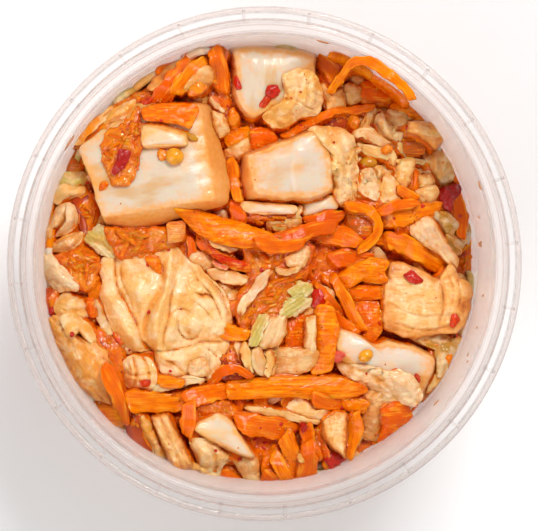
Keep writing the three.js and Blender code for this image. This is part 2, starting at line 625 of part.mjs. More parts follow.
/** The tub's contents, one solid for each node: the heap gives way to the large pieces, and these to later ones. */
function contents() {
  const cavity = cavitySolid();
  const core = coreSheet();
  lay(HEAP, core);
  const nodes = new Map([[HEAP, { finish: "heap", body: solidOf(core), room: null }]]);
  for (const piece of PIECES) {
    const { body, room } = KINDS[piece.kind](piece);
    lay(piece.node, body);
    const node = nodes.get(piece.node);
    if (node) {
      node.body = node.body.add(solidOf(body));
      node.room = node.room && node.room.add(solidOf(room));
    } else {
      nodes.set(piece.node, { finish: piece.finish, body: solidOf(body), room: solidOf(room) });
    }
  }
  const names = [...nodes.keys()];
  const solids = new Map();
  names.forEach((name, i) => {
    const { body, finish } = nodes.get(name);
    const later = names.slice(i + 1);
    const cleared = later.reduce((left, other) => left.subtract(nodes.get(other).room), body);
    solids.set(name, { solid: largestBody(cleared.intersect(cavity)), finish });
  });
  return solids;
}

/** A named mesh with its own material. */
function meshOf(name, solid, finish) {
  const mesh = new THREE.Mesh(geometryOf(solid), new THREE.MeshStandardMaterial(FINISH[finish]));
  mesh.name = name;
  return mesh;
}

const group = new THREE.Group();
group.add(meshOf("tub", tubSolid(), "tub"));
for (const [name, { solid, finish }] of contents()) {
  group.add(meshOf(name, solid, finish));
}

export default group;
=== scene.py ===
"""Kimchi in a round clear tub: cabbage stems and leaves, carrot shreds, chilli, mustard seeds and pulp.

Sizes are in millimetres and become metres where a mesh is made.
+Z is up and the origin is the middle of the tub's base.
"""

import logging
import math
from dataclasses import dataclass, field, replace
from enum import Enum

import bmesh
import bpy
import numpy as np
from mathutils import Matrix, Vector
from mathutils.bvhtree import BVHTree

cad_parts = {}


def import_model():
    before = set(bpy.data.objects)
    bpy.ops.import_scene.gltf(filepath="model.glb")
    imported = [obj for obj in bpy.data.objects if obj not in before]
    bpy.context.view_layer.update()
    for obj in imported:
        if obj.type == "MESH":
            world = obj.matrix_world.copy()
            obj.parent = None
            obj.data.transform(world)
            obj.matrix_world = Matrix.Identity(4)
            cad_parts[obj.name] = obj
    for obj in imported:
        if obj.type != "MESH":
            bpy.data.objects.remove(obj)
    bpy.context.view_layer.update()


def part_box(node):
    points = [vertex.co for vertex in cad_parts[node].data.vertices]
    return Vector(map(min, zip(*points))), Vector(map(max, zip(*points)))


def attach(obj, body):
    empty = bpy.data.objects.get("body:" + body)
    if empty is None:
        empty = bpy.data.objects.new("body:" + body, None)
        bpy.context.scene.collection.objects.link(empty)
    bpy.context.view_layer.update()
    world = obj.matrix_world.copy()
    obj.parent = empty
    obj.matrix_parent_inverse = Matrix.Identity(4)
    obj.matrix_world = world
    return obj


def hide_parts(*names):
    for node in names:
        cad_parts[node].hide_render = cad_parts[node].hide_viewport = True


LOG = logging.getLogger("kimchi")
MM = 0.001
BODY = "root"
HEAP = "kimchi_heap"
SPAN_SOCKETS = ("From Min", "From Max", "To Min", "To Max")

TUB_HEIGHT = 66.0
MOUTH_RADIUS = 52.6
WALL = 0.9
FLOOR = 1.2
WALL_TAPER = 0.105
FOOT_ROUNDING = 1.5

Array = np.ndarray
Points = list[tuple[float, ...]]
Outline = str | Points
Pair = tuple[float, float]
Triple = tuple[float, float, float]


def read_points(text: Outline) -> Points:
    """Points in millimetres, from text such as "1,2 3,4". A list of points stays as it is.

    Args:
        text: The points, with a comma between a point's numbers and a space between points.

    Returns:
        The points as numbers.
    """
    if not isinstance(text, str):
        return text
    return [tuple(float(number) for number in point.split(",")) for point in text.split()]


class Tone(Enum):
    """The food's own colours, as hexadecimal sRGB."""

    SNOW = "eccaaa"
    WHITE = "e0b890"
    PEACH = "d8ae7c"
    CREAM = "f2bc70"
    PINK = "eec08c"
    BLUSH = "e4a25a"
    BUTTER = "f0b25c"
    HONEY = "eca03e"
    OLIVE = "b8862a"
    GREEN = "ccb45c"
    BROWN = "b8601c"
    CARROT = "f27200"
    AMBER = "fa8a00"
    RUST = "e86200"
    RED = "cc2408"
    CRIMSON = "b01a10"
    CORAL = "e45a40"
    VERMILION = "d8400a"
    GOLD = "ec9c0c"
    MUSTARD = "c8880f"


def linear(code: str) -> tuple[float, float, float, float]:
    """A hexadecimal sRGB colour as linear RGBA.

    Args:
        code: Six hexadecimal digits.

    Returns:
        Red, green, blue and alpha from 0 to 1.
    """
    channels = [int(code[i : i + 2], 16) / 255 for i in (0, 2, 4)]
    light = [c / 12.92 if c <= 0.04045 else ((c + 0.055) / 1.055) ** 2.4 for c in channels]
    return (light[0], light[1], light[2], 1.0)


# ---- Noise over a plane ----


def lattice(i: Array, j: Array, seed: int) -> Array:
    """A repeatable random number from 0 to 1 for each whole-number place.

    Args:
        i: Column of each place.
        j: Row of each place.
        seed: Which of the random tables is read.

    Returns:
        One number for each place.
    """
    mask = 0xFFFFFFFF
    mixed = (i.astype(np.int64) * 374761393 + j.astype(np.int64) * 668265263 + seed * 362437) & mask
    mixed = ((mixed ^ (mixed >> 13)) * 1274126177) & mask
    return ((mixed ^ (mixed >> 16)) & 0xFFFF) / 65535.0


def waves(x: Array, y: Array, seed: int, octaves: int = 3) -> Array:
    """Smooth noise from about -1 to 1 whose largest features are one unit across.

    Args:
        x: First coordinate.
        y: Second coordinate.
        seed: Random seed.
        octaves: How many finer layers are added.

    Returns:
        The noise at each point.
    """
    total = np.zeros(np.broadcast(x, y).shape)
    strength = 0.0
    for octave in range(octaves):
        scale = 2.0**octave
        px, py = x * scale + 17.3 * octave, y * scale - 9.1 * octave
        i, j = np.floor(px), np.floor(py)
        s, t = px - i, py - j
        s, t = s * s * (3 - 2 * s), t * t * (3 - 2 * t)
        corners = [lattice(i + a, j + b, seed + octave) for b in (0, 1) for a in (0, 1)]
        low = corners[0] * (1 - s) + corners[1] * s
        high = corners[2] * (1 - s) + corners[3] * s
        total += (low * (1 - t) + high * t) * 2 / scale - 1 / scale
        strength += 1 / scale
    return total / strength * 1.5


def wall_radius(height: Array) -> Array:
    """Inner radius of the tub at a height, with the bevel at its mouth."""
    bevel = np.clip(height - (TUB_HEIGHT - WALL), 0, WALL) * (1 - WALL_TAPER)
    return MOUTH_RADIUS - (TUB_HEIGHT - height) * WALL_TAPER + bevel


# ---- Materials ----


class Shader:
    """A material's node tree, which is built from its patterns to its surface."""

    def __init__(self, name: str) -> None:
        """Starts a material with a Principled surface.

        Args:
            name: The material's name.
        """
        self.material = bpy.data.materials.new(name)
        self.material.use_nodes = True
        self.tree = self.material.node_tree
        self.surface = self.tree.nodes["Principled BSDF"]
        self.place = self.tree.nodes.new("ShaderNodeTexCoord").outputs["Object"]

    def plug(self, socket: bpy.types.NodeSocket, value: object) -> None:
        """Sets a socket to a value, or links it to another socket.

        Args:
            socket: The input.
            value: A plain value or an output.
        """
        if isinstance(value, bpy.types.NodeSocket):
            self.tree.links.new(value, socket)
        else:
            socket.default_value = value

    def attribute(self, name: str, output: str = "Fac") -> bpy.types.NodeSocket:
        """Reads a mesh attribute.

        Args:
            name: The attribute's name.
            output: Which of the node's outputs is used.

        Returns:
            The node's output socket.
        """
        node = self.tree.nodes.new("ShaderNodeAttribute")
        node.attribute_name = name
        return node.outputs[output]

    def math(self, operation: str, a: object, b: object = 0.0, clamp: bool = False) -> bpy.types.NodeSocket:
        """One sum of two values.

        Args:
            operation: What is done with the values.
            a: First value.
            b: Second value.
            clamp: Whether the result stays within 0 and 1.

        Returns:
            The node's output socket.
        """
        node = self.tree.nodes.new("ShaderNodeMath")
        node.operation = operation
        node.use_clamp = clamp
        self.plug(node.inputs[0], a)
        self.plug(node.inputs[1], b)
        return node.outputs[0]

    def span(
        self, value: object, low: float, high: float, start: float = 0.0, end: float = 1.0
    ) -> bpy.types.NodeSocket:
        """Maps low..high smoothly to start..end.

        Args:
            value: The value that is mapped.
            low: Value that becomes start.
            high: Value that becomes end.
            start: Result at low.
            end: Result at high.

        Returns:
            The node's output socket.
        """
        node = self.tree.nodes.new("ShaderNodeMapRange")
        node.interpolation_type = "SMOOTHSTEP"
        self.plug(node.inputs["Value"], value)
        for socket, number in zip(SPAN_SOCKETS, (low, high, start, end)):
            node.inputs[socket].default_value = number
        return node.outputs["Result"]

    def mix(self, factor: object, a: object, b: object, blend: str = "MIX") -> bpy.types.NodeSocket:
        """Mixes two colours.

        Args:
            factor: Share of the second colour.
            a: First colour.
            b: Second colour.
            blend: How they are blended.

        Returns:
            The node's output socket.
        """
        node = self.tree.nodes.new("ShaderNodeMix")
        node.data_type = "RGBA"
        node.blend_type = blend
        self.plug(node.inputs["Factor"], factor)
        self.plug([s for s in node.inputs if s.name == "A" and s.type == "RGBA"][0], a)
        self.plug([s for s in node.inputs if s.name == "B" and s.type == "RGBA"][0], b)
        return [s for s in node.outputs if s.type == "RGBA"][0]

    def stretched(self, vector: object, scale: Triple) -> bpy.types.NodeSocket:
        """A pattern's coordinates, stretched along each axis.

        Args:
            vector: The coordinates.
            scale: Scale along each axis. A small one draws the pattern out.

        Returns:
            The node's output socket.
        """
        node = self.tree.nodes.new("ShaderNodeMapping")
        self.plug(node.inputs["Vector"], vector)
        node.inputs["Scale"].default_value = scale
        return node.outputs["Vector"]

    def noise(self, vector: object, size: float, detail: float = 3.0) -> bpy.types.NodeSocket:
        """Noise with features of a size in millimetres, over coordinates in metres.

        Args:
            vector: The coordinates.
            size: Size of the features.
            detail: How many finer layers are added.

        Returns:
            The node's output socket.
        """
        node = self.tree.nodes.new("ShaderNodeTexNoise")
        self.plug(node.inputs["Vector"], vector)
        node.inputs["Scale"].default_value = 1 / (size * MM)
        node.inputs["Detail"].default_value = detail
        return node.outputs["Fac"]

    def cells(self, vector: object, size: float, feature: str = "DISTANCE_TO_EDGE") -> bpy.types.NodeSocket:
        """Cells of a size in millimetres, over coordinates in metres.

        Args:
            vector: The coordinates.
            size: Size of the cells.
            feature: What is measured in each cell.

        Returns:
            The node's output socket.
        """
        node = self.tree.nodes.new("ShaderNodeTexVoronoi")
        node.feature = feature
        self.plug(node.inputs["Vector"], vector)
        node.inputs["Scale"].default_value = 1 / (size * MM)
        return node.outputs["Distance"]

    def bump(self, height: object, depth: float, onto: object = None) -> bpy.types.NodeSocket:
        """Relief of a depth in millimetres, on top of an earlier one if there is any.

        Args:
            height: The relief, from 0 to 1.
            depth: Its depth.
            onto: The earlier relief.

        Returns:
            The node's output socket.
        """
        node = self.tree.nodes.new("ShaderNodeBump")
        node.inputs["Distance"].default_value = depth * MM
        self.plug(node.inputs["Height"], height)
        if onto is not None:
            self.plug(node.inputs["Normal"], onto)
        return node.outputs["Normal"]

    def finish(self, **values: object) -> bpy.types.Material:
        """Sets the surface's sockets, named with _ for a space, and returns the material.

        Args:
            values: A value or an output for each socket.

        Returns:
            The material.
        """
        for name, value in values.items():
            self.plug(self.surface.inputs[name.replace("_", " ")], value)
        return self.material


# Roughness of the wet coat, and how far red, green and blue light go in each kind of food.
WET = 0.08
VEGETABLE_GLOW = (1.0, 0.45, 0.18)
PULP_GLOW = (1.0, 0.35, 0.1)
SKIN_GLOW = (1.0, 0.3, 0.1)


@dataclass(frozen=True)
class Vegetable:
    """Wet cut cabbage or carrot: its own tone, long fibres, and brine that gathers in its creases and
    beside higher pieces, where its colour also paints the shade.
    """

    name: str
    slot: str
    brine: str
    deep_brine_and_shade: str
    brine_share: float = 1.0
    roughness: float = 0.32
    scatter: float = 0.3
    scatter_depth: float = 1.6
    fibre_size: float = 0.5
    fibre_depth: float = 0.05
    fibre_shade: float = 0.12
    pale: str = "f6d8b0"
    pale_size: float = 1.1
    pale_from: float = 0.42
    pale_share: float = 0.25
    pale_along: float = 1.0
    pore_size: float = 0.7
    pore_depth: float = 0.05
    mottle: float = 0.25
    vein_size: float = 0.0
    gloss: float = 0.25
    specular: float = 0.3

    def material(self) -> bpy.types.Material:
        """Builds the material.

        Returns:
            The material.
        """
        shader = Shader(self.name)
        grain = shader.attribute("grain", "Vector")
        stain = shader.attribute("stain")
        mottle = shader.noise(shader.place, 5.0, 4.0)
        fine = shader.noise(shader.place, 1.1, 3.0)
        fibres = shader.noise(shader.stretched(grain, (0.12, 1.0, 1.0)), self.fibre_size, 2.0)
        colour = shader.attribute("tone", "Color")
        threads = shader.span(fibres, 0.42, 0.66, 0.0, self.fibre_shade)
        colour = shader.mix(threads, colour, linear(self.brine))
        cloud = shader.noise(shader.stretched(grain, (self.pale_along, 1.0, 1.0)), self.pale_size, 3.0)
        clouds = shader.span(cloud, self.pale_from, self.pale_from + 0.18, 0.0, self.pale_share)
        colour = shader.mix(clouds, colour, linear(self.pale))
        patches = shader.math("MULTIPLY", shader.span(mottle, 0.5, 0.72), self.mottle)
        colour = shader.mix(patches, colour, linear(self.brine))
        wet = shader.math("MULTIPLY", shader.math("SUBTRACT", fine, 0.5), 0.7)
        # The stain turns the colour to brine and then deep brine in hollows and beside higher pieces. This
        # is brine colour and painted shade together.
        soaked = shader.math("ADD", shader.math("MULTIPLY", stain, self.brine_share), wet)
        colour = shader.mix(shader.span(soaked, 0.18, 0.85, 0.0, 0.85), colour, linear(self.brine))
        colour = shader.mix(shader.span(soaked, 0.62, 1.25, 0.0, 0.9), colour, linear(self.deep_brine_and_shade))
        normal = shader.bump(fibres, self.fibre_depth)
        normal = shader.bump(shader.noise(shader.place, self.pore_size, 3.0), self.pore_depth, normal)
        if self.vein_size:
            net = shader.span(shader.cells(grain, self.vein_size), 0.0, 0.12)
            normal = shader.bump(net, 0.07, normal)
        return shader.finish(
            Base_Color=colour,
            Roughness=self.roughness,
            Normal=normal,
            Specular_IOR_Level=self.specular,
            Coat_Weight=self.gloss,
            Coat_Roughness=WET,
            Coat_Normal=normal,
            Subsurface_Weight=self.scatter,
            Subsurface_Radius=VEGETABLE_GLOW,
            Subsurface_Scale=self.scatter_depth * MM,
        )


@dataclass(frozen=True)
class WetPulp:
    """Grated pulp in thick red brine, darker where its stain is high: painted shade in the gaps and hollows
    of the core and the pieces, and a random tone on the lumps.
    """

    name: str
    slot: str
    bright: str
    middle: str
    dark: str
    bit_size: float = 1.6
    relief: float = 0.5

    def material(self) -> bpy.types.Material:
        """Builds the material.

        Returns:
            The material.
        """
        shader = Shader(self.name)
        depth = shader.attribute("stain")
        lumps = shader.noise(shader.place, self.bit_size * 2.2, 4.0)
        bits = shader.cells(shader.place, self.bit_size, "F1")
        # A high stain turns the colour towards the middle and dark tones. Where the stain comes from
        # shelter, this is painted shade.
        shade = shader.math("ADD", depth, shader.math("MULTIPLY", shader.math("SUBTRACT", lumps, 0.5), 1.3))
        colour = shader.mix(shader.span(shade, -0.15, 0.5), linear(self.bright), linear(self.middle))
        colour = shader.mix(shader.span(shade, 0.4, 1.05), colour, linear(self.dark))
        normal = shader.bump(lumps, self.relief)
        normal = shader.bump(bits, self.relief * 0.3, normal)
        return shader.finish(
            Base_Color=colour,
            Roughness=0.2,
            Normal=normal,
            Specular_IOR_Level=0.35,
            Coat_Weight=0.25,
            Coat_Roughness=0.07,
            Coat_Normal=normal,
            Subsurface_Weight=0.5,
            Subsurface_Radius=PULP_GLOW,
            Subsurface_Scale=2.0 * MM,
        )


@dataclass(frozen=True)
class Skin:
    """The smooth glossy skin of a chilli flake or a seed."""

    name: str
    slot: str
    shade: str
    roughness: float = 0.22
    coat: float = 0.8
    size: float = 0.8

    def material(self) -> bpy.types.Material:
        """Builds the material.

        Returns:
            The material.
        """
        shader = Shader(self.name)
        patches = shader.noise(shader.place, self.size, 3.0)
        colour = shader.mix(
            shader.span(patches, 0.4, 0.7, 0.0, 0.6), shader.attribute("tone", "Color"), linear(self.shade)
        )
        return shader.finish(
            Base_Color=colour,
            Roughness=self.roughness,
            Normal=shader.bump(patches, 0.12),
            Specular_IOR_Level=0.3,
            Coat_Weight=self.coat,
            Coat_Roughness=WET,
            Subsurface_Weight=0.15,
            Subsurface_Radius=SKIN_GLOW,
            Subsurface_Scale=0.8 * MM,
        )


@dataclass(frozen=True)
class ClearPlastic:
    """Thin moulded polypropylene: clear, a little milky, with a faint haze of scratches."""

    name: str
    slot: str
    tint: str
    milk: float = 0.16
    cover: float = 1.0
    roughness: float = 0.08
    stain: str = "f6b080"
    stain_top: float = 60.0
    stain_fade: float = 20.0
    stain_share: float = 0.12

    def material(self) -> bpy.types.Material:
        """Builds the material.

        Returns:
            The material.
        """
        shader = Shader(self.name)
        haze = shader.noise(shader.place, 14.0, 4.0)
        parts = shader.tree.nodes.new("ShaderNodeSeparateXYZ")
        shader.plug(parts.inputs[0], shader.place)
        low = shader.span(parts.outputs["Z"], self.stain_top * MM, (self.stain_top - self.stain_fade) * MM)
        low = shader.math("MULTIPLY", low, shader.span(parts.outputs["Z"], 38 * MM, 46 * MM))
        film = shader.math("MULTIPLY", low, shader.span(haze, 0.2, 0.6, 0.2, self.stain_share))
        tint = shader.mix(film, linear(self.tint), linear(self.stain))
        scuffs = shader.noise(shader.stretched(shader.place, (1.0, 1.0, 0.15)), 1.5, 3.0)
        return shader.finish(
            Base_Color=tint,
            Roughness=shader.span(scuffs, 0.35, 0.8, self.roughness, self.roughness * 2.2),
            Normal=shader.bump(haze, 0.05),
            IOR=1.46,
            Transmission_Weight=1 - self.milk,
            Alpha=self.cover,
        )


STEM = Vegetable(
    "wet_cabbage_stem", "cabbage_stem", "f4aa4c", "de8a2c", 0.75, scatter=0.6, scatter_depth=2.8,
    pale="e0d6c6", pale_size=6.0, pale_from=0.34, pale_share=0.7, pale_along=0.4, mottle=0.4, gloss=0.2,
)
SOAKED = Vegetable(
    "soaked_cabbage_stem", "cabbage_stem", "e6943a", "b8581a", 1.15, scatter=0.6, scatter_depth=2.2,
    pale="f8d6a0", pale_size=2.6, pale_share=0.6, mottle=0.5,
    fibre_shade=0.5, fibre_depth=0.25, pore_depth=0.1,
)
LEAF = Vegetable(
    "wet_cabbage_leaf", "cabbage_leaf", "ea9c38", "c46a18", roughness=0.34, scatter=0.4, scatter_depth=1.4,
    pale="fbdfb4", pale_size=4.0, pale_share=0.6, mottle=0.5, vein_size=1.8,
)
# The carrot's pale streaks along the fibres are lighter carrot, and they also paint the small glints of its
# wet shine.
CARROT = Vegetable(
    "wet_carrot", "carrot", "de5a00", "b84200", 0.75, roughness=0.2, scatter=0.55, scatter_depth=2.0,
    fibre_depth=0.1, fibre_shade=0.75, mottle=0.5, pore_size=1.1, pore_depth=0.14, gloss=0.05, specular=0.2,
    pale="ffae28", pale_size=0.8, pale_from=0.5, pale_share=0.6, pale_along=0.14,
)
PULP = WetPulp("wet_pulp", "pulp", "f88a08", "e46400", "b43a00", bit_size=1.0, relief=0.5)
BITS = WetPulp("pulp_bits", "pulp", "f88c10", "e66a06", "b83c04", bit_size=0.7, relief=0.2)
CHILLI = Skin("chilli_skin", "chilli", "8c0a04", roughness=0.3, coat=0.15)
SEED = Skin("seed_coat", "mustard_seed", "c07408", roughness=0.35, coat=0.4, size=1.2)
# Dark red brine pools that lie in the gaps between pieces: partly brine, partly painted shade.
JUICE_AND_SHADE = WetPulp("thick_brine", "pulp", "cc5004", "a83402", "701a00", bit_size=3.0, relief=0.15)
FILM = ClearPlastic("thin_brine", "pulp", "f8bd8c", milk=0.5, roughness=0.5)
PLASTIC = ClearPlastic("clear_plastic", "tub_plastic", "fdf4f0", milk=0.2, cover=0.62)
HAZE = ClearPlastic(
    "brine_haze", "tub_plastic", "fff4ec", milk=0.9, cover=0.24, roughness=0.4, stain_share=0.3
)

PRESSED = {"scatter": 0.08, "scatter_depth": 0.6, "brine_share": 0.6}
PRESSED_STEM = replace(STEM, name="pressed_stem", **PRESSED)
PRESSED_LEAF = replace(LEAF, name="pressed_leaf", **PRESSED)
PRESSED_CARROT = replace(CARROT, name="pressed_carrot", **PRESSED)

Finish = Vegetable | WetPulp | Skin | ClearPlastic
MATERIALS: dict[str, bpy.types.Material] = {}


# ---- Shapes ----


@dataclass
class Shape:
    """A closed mesh in millimetres, with what its finish reads at each point."""

    points: Array
    faces: list[tuple[int, ...]]
    grain: Array
    tone: Tone
    stain: Array | None = None


def deselect() -> None:
    """Leaves nothing selected, in object mode."""
    if bpy.context.object and bpy.context.object.mode != "OBJECT":
        bpy.ops.object.mode_set(mode="OBJECT")
    bpy.ops.object.select_all(action="DESELECT")


def take_mesh() -> tuple[Array, list[tuple[int, ...]]]:
    """Reads the active object's mesh and removes the object.

    Returns:
        The vertices, and each face's vertex numbers.
    """
    blank = bpy.context.object
    mesh = blank.data
    points = np.zeros(len(mesh.vertices) * 3)
    mesh.vertices.foreach_get("co", points)
    faces = [tuple(face.vertices) for face in mesh.polygons]
    bpy.data.objects.remove(blank)
    bpy.data.meshes.remove(mesh)
    return points.reshape(-1, 3), faces


class Blanks:
    """Flat slabs and bars, each modelled once and then copied and shaped for every piece that needs it."""

    def __init__(self) -> None:
        """Starts with no blanks."""
        self.made: dict[tuple, tuple[Array, list]] = {}

    def slab(self, columns: int, rows: int, levels: int) -> tuple[Array, list]:
        """A closed slab: x and y run from -1 to 1 and z is the level's number.

        Args:
            columns: Squares along.
            rows: Squares across.
            levels: Layers of points, from face to face.

        Returns:
            Its points and its faces.
        """
        key = ("slab", columns, rows, levels)
        if key not in self.made:
            deselect()
            bpy.ops.mesh.primitive_grid_add(x_subdivisions=columns, y_subdivisions=rows, size=2)
            self.raise_levels(levels)
            self.made[key] = take_mesh()
        return self.made[key]

    def bar(self, stations: int, around: int) -> tuple[Array, list]:
        """A closed round bar of radius 1 along z, which is the station's number.

        Args:
            stations: Rings along.
            around: Points in a ring.

        Returns:
            Its points and its faces.
        """
        key = ("bar", stations, around)
        if key not in self.made:
            deselect()
            bpy.ops.mesh.primitive_circle_add(vertices=around, radius=1, fill_type="TRIFAN")
            self.raise_levels(stations)
            self.made[key] = take_mesh()
        return self.made[key]

    def ball(self, subdivisions: int) -> tuple[Array, list]:
        """A ball of radius 1 made of triangles.

        Args:
            subdivisions: How often its faces are divided.

        Returns:
            Its points and its faces.
        """
        key = ("ball", subdivisions)
        if key not in self.made:
            deselect()
            bpy.ops.mesh.primitive_ico_sphere_add(subdivisions=subdivisions, radius=1)
            self.made[key] = take_mesh()
        return self.made[key]

    @staticmethod
    def raise_levels(levels: int) -> None:
        """Extrudes the active flat mesh upwards, one unit for each level after the first.

        Args:
            levels: Layers of points, from face to face.
        """
        bpy.ops.object.mode_set(mode="EDIT")
        bpy.ops.mesh.select_all(action="SELECT")
        for _ in range(levels - 1):
            bpy.ops.mesh.extrude_region_move(TRANSFORM_OT_translate={"value": (0, 0, 1)})
        bpy.ops.mesh.select_all(action="SELECT")
        bpy.ops.mesh.normals_make_consistent(inside=False)
        bpy.ops.object.mode_set(mode="OBJECT")


BLANKS = Blanks()


def between(grid: Array, i: Array, j: Array) -> Array:
    """Reads a grid between its points.

    Args:
        grid: Its values, row by row.
        i: Column of each place, with a fraction.
        j: Row of each place, with a fraction.

    Returns:
        The value at each place. A place off the grid gets the value at its edge.
    """
    i = np.clip(i, 0, grid.shape[1] - 1.001)
    j = np.clip(j, 0, grid.shape[0] - 1.001)
    i0, j0 = i.astype(int), j.astype(int)
    s, t = i - i0, j - j0
    low = grid[j0, i0] * (1 - s) + grid[j0, i0 + 1] * s
    high = grid[j0 + 1, i0] * (1 - s) + grid[j0 + 1, i0 + 1] * s
    return low * (1 - t) + high * t


class Pile:
    """Height of all that lies in the tub so far, on a square grid, which the next piece rests on."""

    STEP = 0.3
    REACH = 54.0
    SHEET_STEP = 0.9
    SHEET_ROUNDS = 40
    WAYS = 8

    def __init__(self) -> None:
        """Starts with an empty floor."""
        self.axis = np.arange(-self.REACH, self.REACH + self.STEP, self.STEP)
        self.height = np.full((len(self.axis), len(self.axis)), FLOOR)
        self.skin = np.full(self.height.shape, "pulp", dtype="U16")

    def sample(self, x: Array, y: Array, grid: Array | None = None) -> Array:
        """Height of the pile's top at each place, or of another grid of heights.

        Args:
            x: First coordinate of each point.
            y: Second coordinate of each point.
            grid: Another grid of heights.

        Returns:
            The height at each point.
        """
        heights = self.height if grid is None else grid
        return between(heights, (x + self.REACH) / self.STEP, (y + self.REACH) / self.STEP)

    def skins(self, x: Array, y: Array) -> Array:
        """The slot that shows at each place.

        Args:
            x: First coordinate of each point.
            y: Second coordinate of each point.

        Returns:
            The slot's name at each point.
        """
        i = np.round((x + self.REACH) / self.STEP).astype(int)
        j = np.round((y + self.REACH) / self.STEP).astype(int)
        return self.skin[j, i]

    def add(self, shape: Shape, skin: str) -> None:
        """Raises the pile to a shape's top, and notes the slot that now shows there.

        Args:
            shape: The shape that is laid on.
            skin: Its slot.
        """
        tree = BVHTree.FromPolygons(shape.points.tolist(), shape.faces)
        low = np.floor((shape.points.min(0) + self.REACH) / self.STEP).astype(int)
        high = np.ceil((shape.points.max(0) + self.REACH) / self.STEP).astype(int) + 1
        top = float(shape.points[:, 2].max()) + 1
        down = Vector((0, 0, -1))
        last = len(self.axis)
        for j in range(max(low[1], 0), min(high[1], last)):
            for i in range(max(low[0], 0), min(high[0], last)):
                hit = tree.ray_cast(Vector((self.axis[i], self.axis[j], top)), down)[0]
                if hit is not None and hit.z > self.height[j, i]:
                    self.height[j, i] = hit.z
                    self.skin[j, i] = skin

    def flood(self, spread: float, drop: float) -> Array:
        """Height of the wet pulp that fills the gaps to a little below what lies round them.

        Args:
            spread: How far round a place the pieces hold the pulp up.
            drop: How far the pulp stays below them.

        Returns:
            The pulp's height at each place of the grid, which is under the pieces where they are.
        """
        gx, gy = np.meshgrid(self.axis, self.axis)
        within = (np.hypot(gx, gy) < MOUTH_RADIUS - 1.5).astype(float)
        reach = int(3 * spread / self.STEP)
        kernel = np.exp(-(((np.arange(-reach, reach + 1)) * self.STEP / spread) ** 2) / 2)

        def blur(grid: Array) -> Array:
            """Smooths a grid."""
            across = np.apply_along_axis(np.convolve, 0, grid, kernel, "same")
            return np.apply_along_axis(np.convolve, 1, across, kernel, "same")

        level = blur(self.height * within) / np.maximum(blur(within), 1e-6)
        return np.minimum(level - drop, self.height - 0.25)

    def membrane(self, outline: Array, sag: float) -> tuple[Array, Array, Array]:
        """A soft sheet laid over the pile inside an outline.

        Args:
            outline: Points round the sheet.
            sag: How far it hangs between what carries it.

        Returns:
            The x and y of its grid's columns and rows, and its heights.
        """
        step = self.SHEET_STEP
        low, high = outline.min(0) - step, outline.max(0) + step
        xs = np.arange(low[0], high[0] + step, step)
        ys = np.arange(low[1], high[1] + step, step)
        gx, gy = np.meshgrid(xs, ys)
        under = np.where(inside(gx, gy, outline), self.sample(gx, gy), -99.0)
        held = under > -90
        z = np.where(held, under, under[held].mean() if held.any() else self.sample(gx, gy))
        for _ in range(self.SHEET_ROUNDS):
            padded = np.pad(z, 1, mode="edge")
            mean = (padded[:-2, 1:-1] + padded[2:, 1:-1] + padded[1:-1, :-2] + padded[1:-1, 2:]) / 4
            z = np.maximum(under, mean - sag)
        return xs, ys, z

    def shelter(self, x: Array, y: Array, z: Array, reach: float, rise: float) -> Array:
        """How far each point lies in a hollow or beside something higher, from 0 to 1.

        Args:
            x: First coordinate of each point.
            y: Second coordinate of each point.
            z: Height of each point.
            reach: How far round a point is looked.
            rise: How much higher counts as full shelter.

        Returns:
            The shelter of each point.
        """
        total = np.zeros(len(x))
        for way in range(self.WAYS):
            angle = 2 * math.pi * (way + 0.5) / self.WAYS
            around = self.sample(x + reach * math.cos(angle), y + reach * math.sin(angle))
            total += np.clip((around - z) / rise, 0, 1)
        return total / self.WAYS


def inside(x: Array, y: Array, outline: Array) -> Array:
    """Which points lie inside a closed outline.

    Args:
        x: First coordinate of each point.
        y: Second coordinate of each point.
        outline: Corners of the outline.

    Returns:
        True for each point inside.
    """
    found = np.zeros(x.shape, bool)
    for (ax, ay), (bx, by) in zip(outline, np.roll(outline, -1, axis=0)):
        crosses = (ay > y) != (by > y)
        with np.errstate(divide="ignore", invalid="ignore"):
            found ^= crosses & (x < (bx - ax) * (y - ay) / (by - ay) + ax)
    return found


def along_outline(outline: Array, share: Array) -> Array:
    """Points at a share of the way round a closed outline.

    Args:
        outline: Corners of the outline.
        share: How far round each point lies, from 0 to 1.

    Returns:
        The x and y of each point.
    """
    closed = np.vstack([outline, outline[:1]])
    steps = np.hypot(*np.diff(closed, axis=0).T)
    way = np.concatenate([[0], np.cumsum(steps)])
    at = (share % 1.0) * way[-1]
    return np.stack([np.interp(at, way, closed[:, 0]), np.interp(at, way, closed[:, 1])], -1)


def smooth_path(path: Points, count: int) -> Array:
    """Evenly spaced points on a smooth curve through a path's points.

    Args:
        path: The points that the curve runs through.
        count: How many points are made.

    Returns:
        The x, y and z of each point.
    """
    knots = np.array([(*p, 0.0)[:3] for p in path], float)
    ends = np.vstack([2 * knots[0] - knots[1], knots, 2 * knots[-1] - knots[-2]])
    dense = []
    for k in range(len(knots) - 1):
        a, b, c, d = ends[k : k + 4]
        for t in np.linspace(0, 1, 24, endpoint=False):
            square, cube = 2 * a - 5 * b + 4 * c - d, 3 * b - a - 3 * c + d
            dense.append(0.5 * (2 * b + (c - a) * t + square * t**2 + cube * t**3))
    dense.append(knots[-1])
    dense = np.array(dense)
    way = np.concatenate([[0], np.cumsum(np.linalg.norm(np.diff(dense, axis=0), axis=1))])
    at = np.linspace(0, way[-1], count)
    return np.stack([np.interp(at, way, dense[:, k]) for k in range(3)], -1)


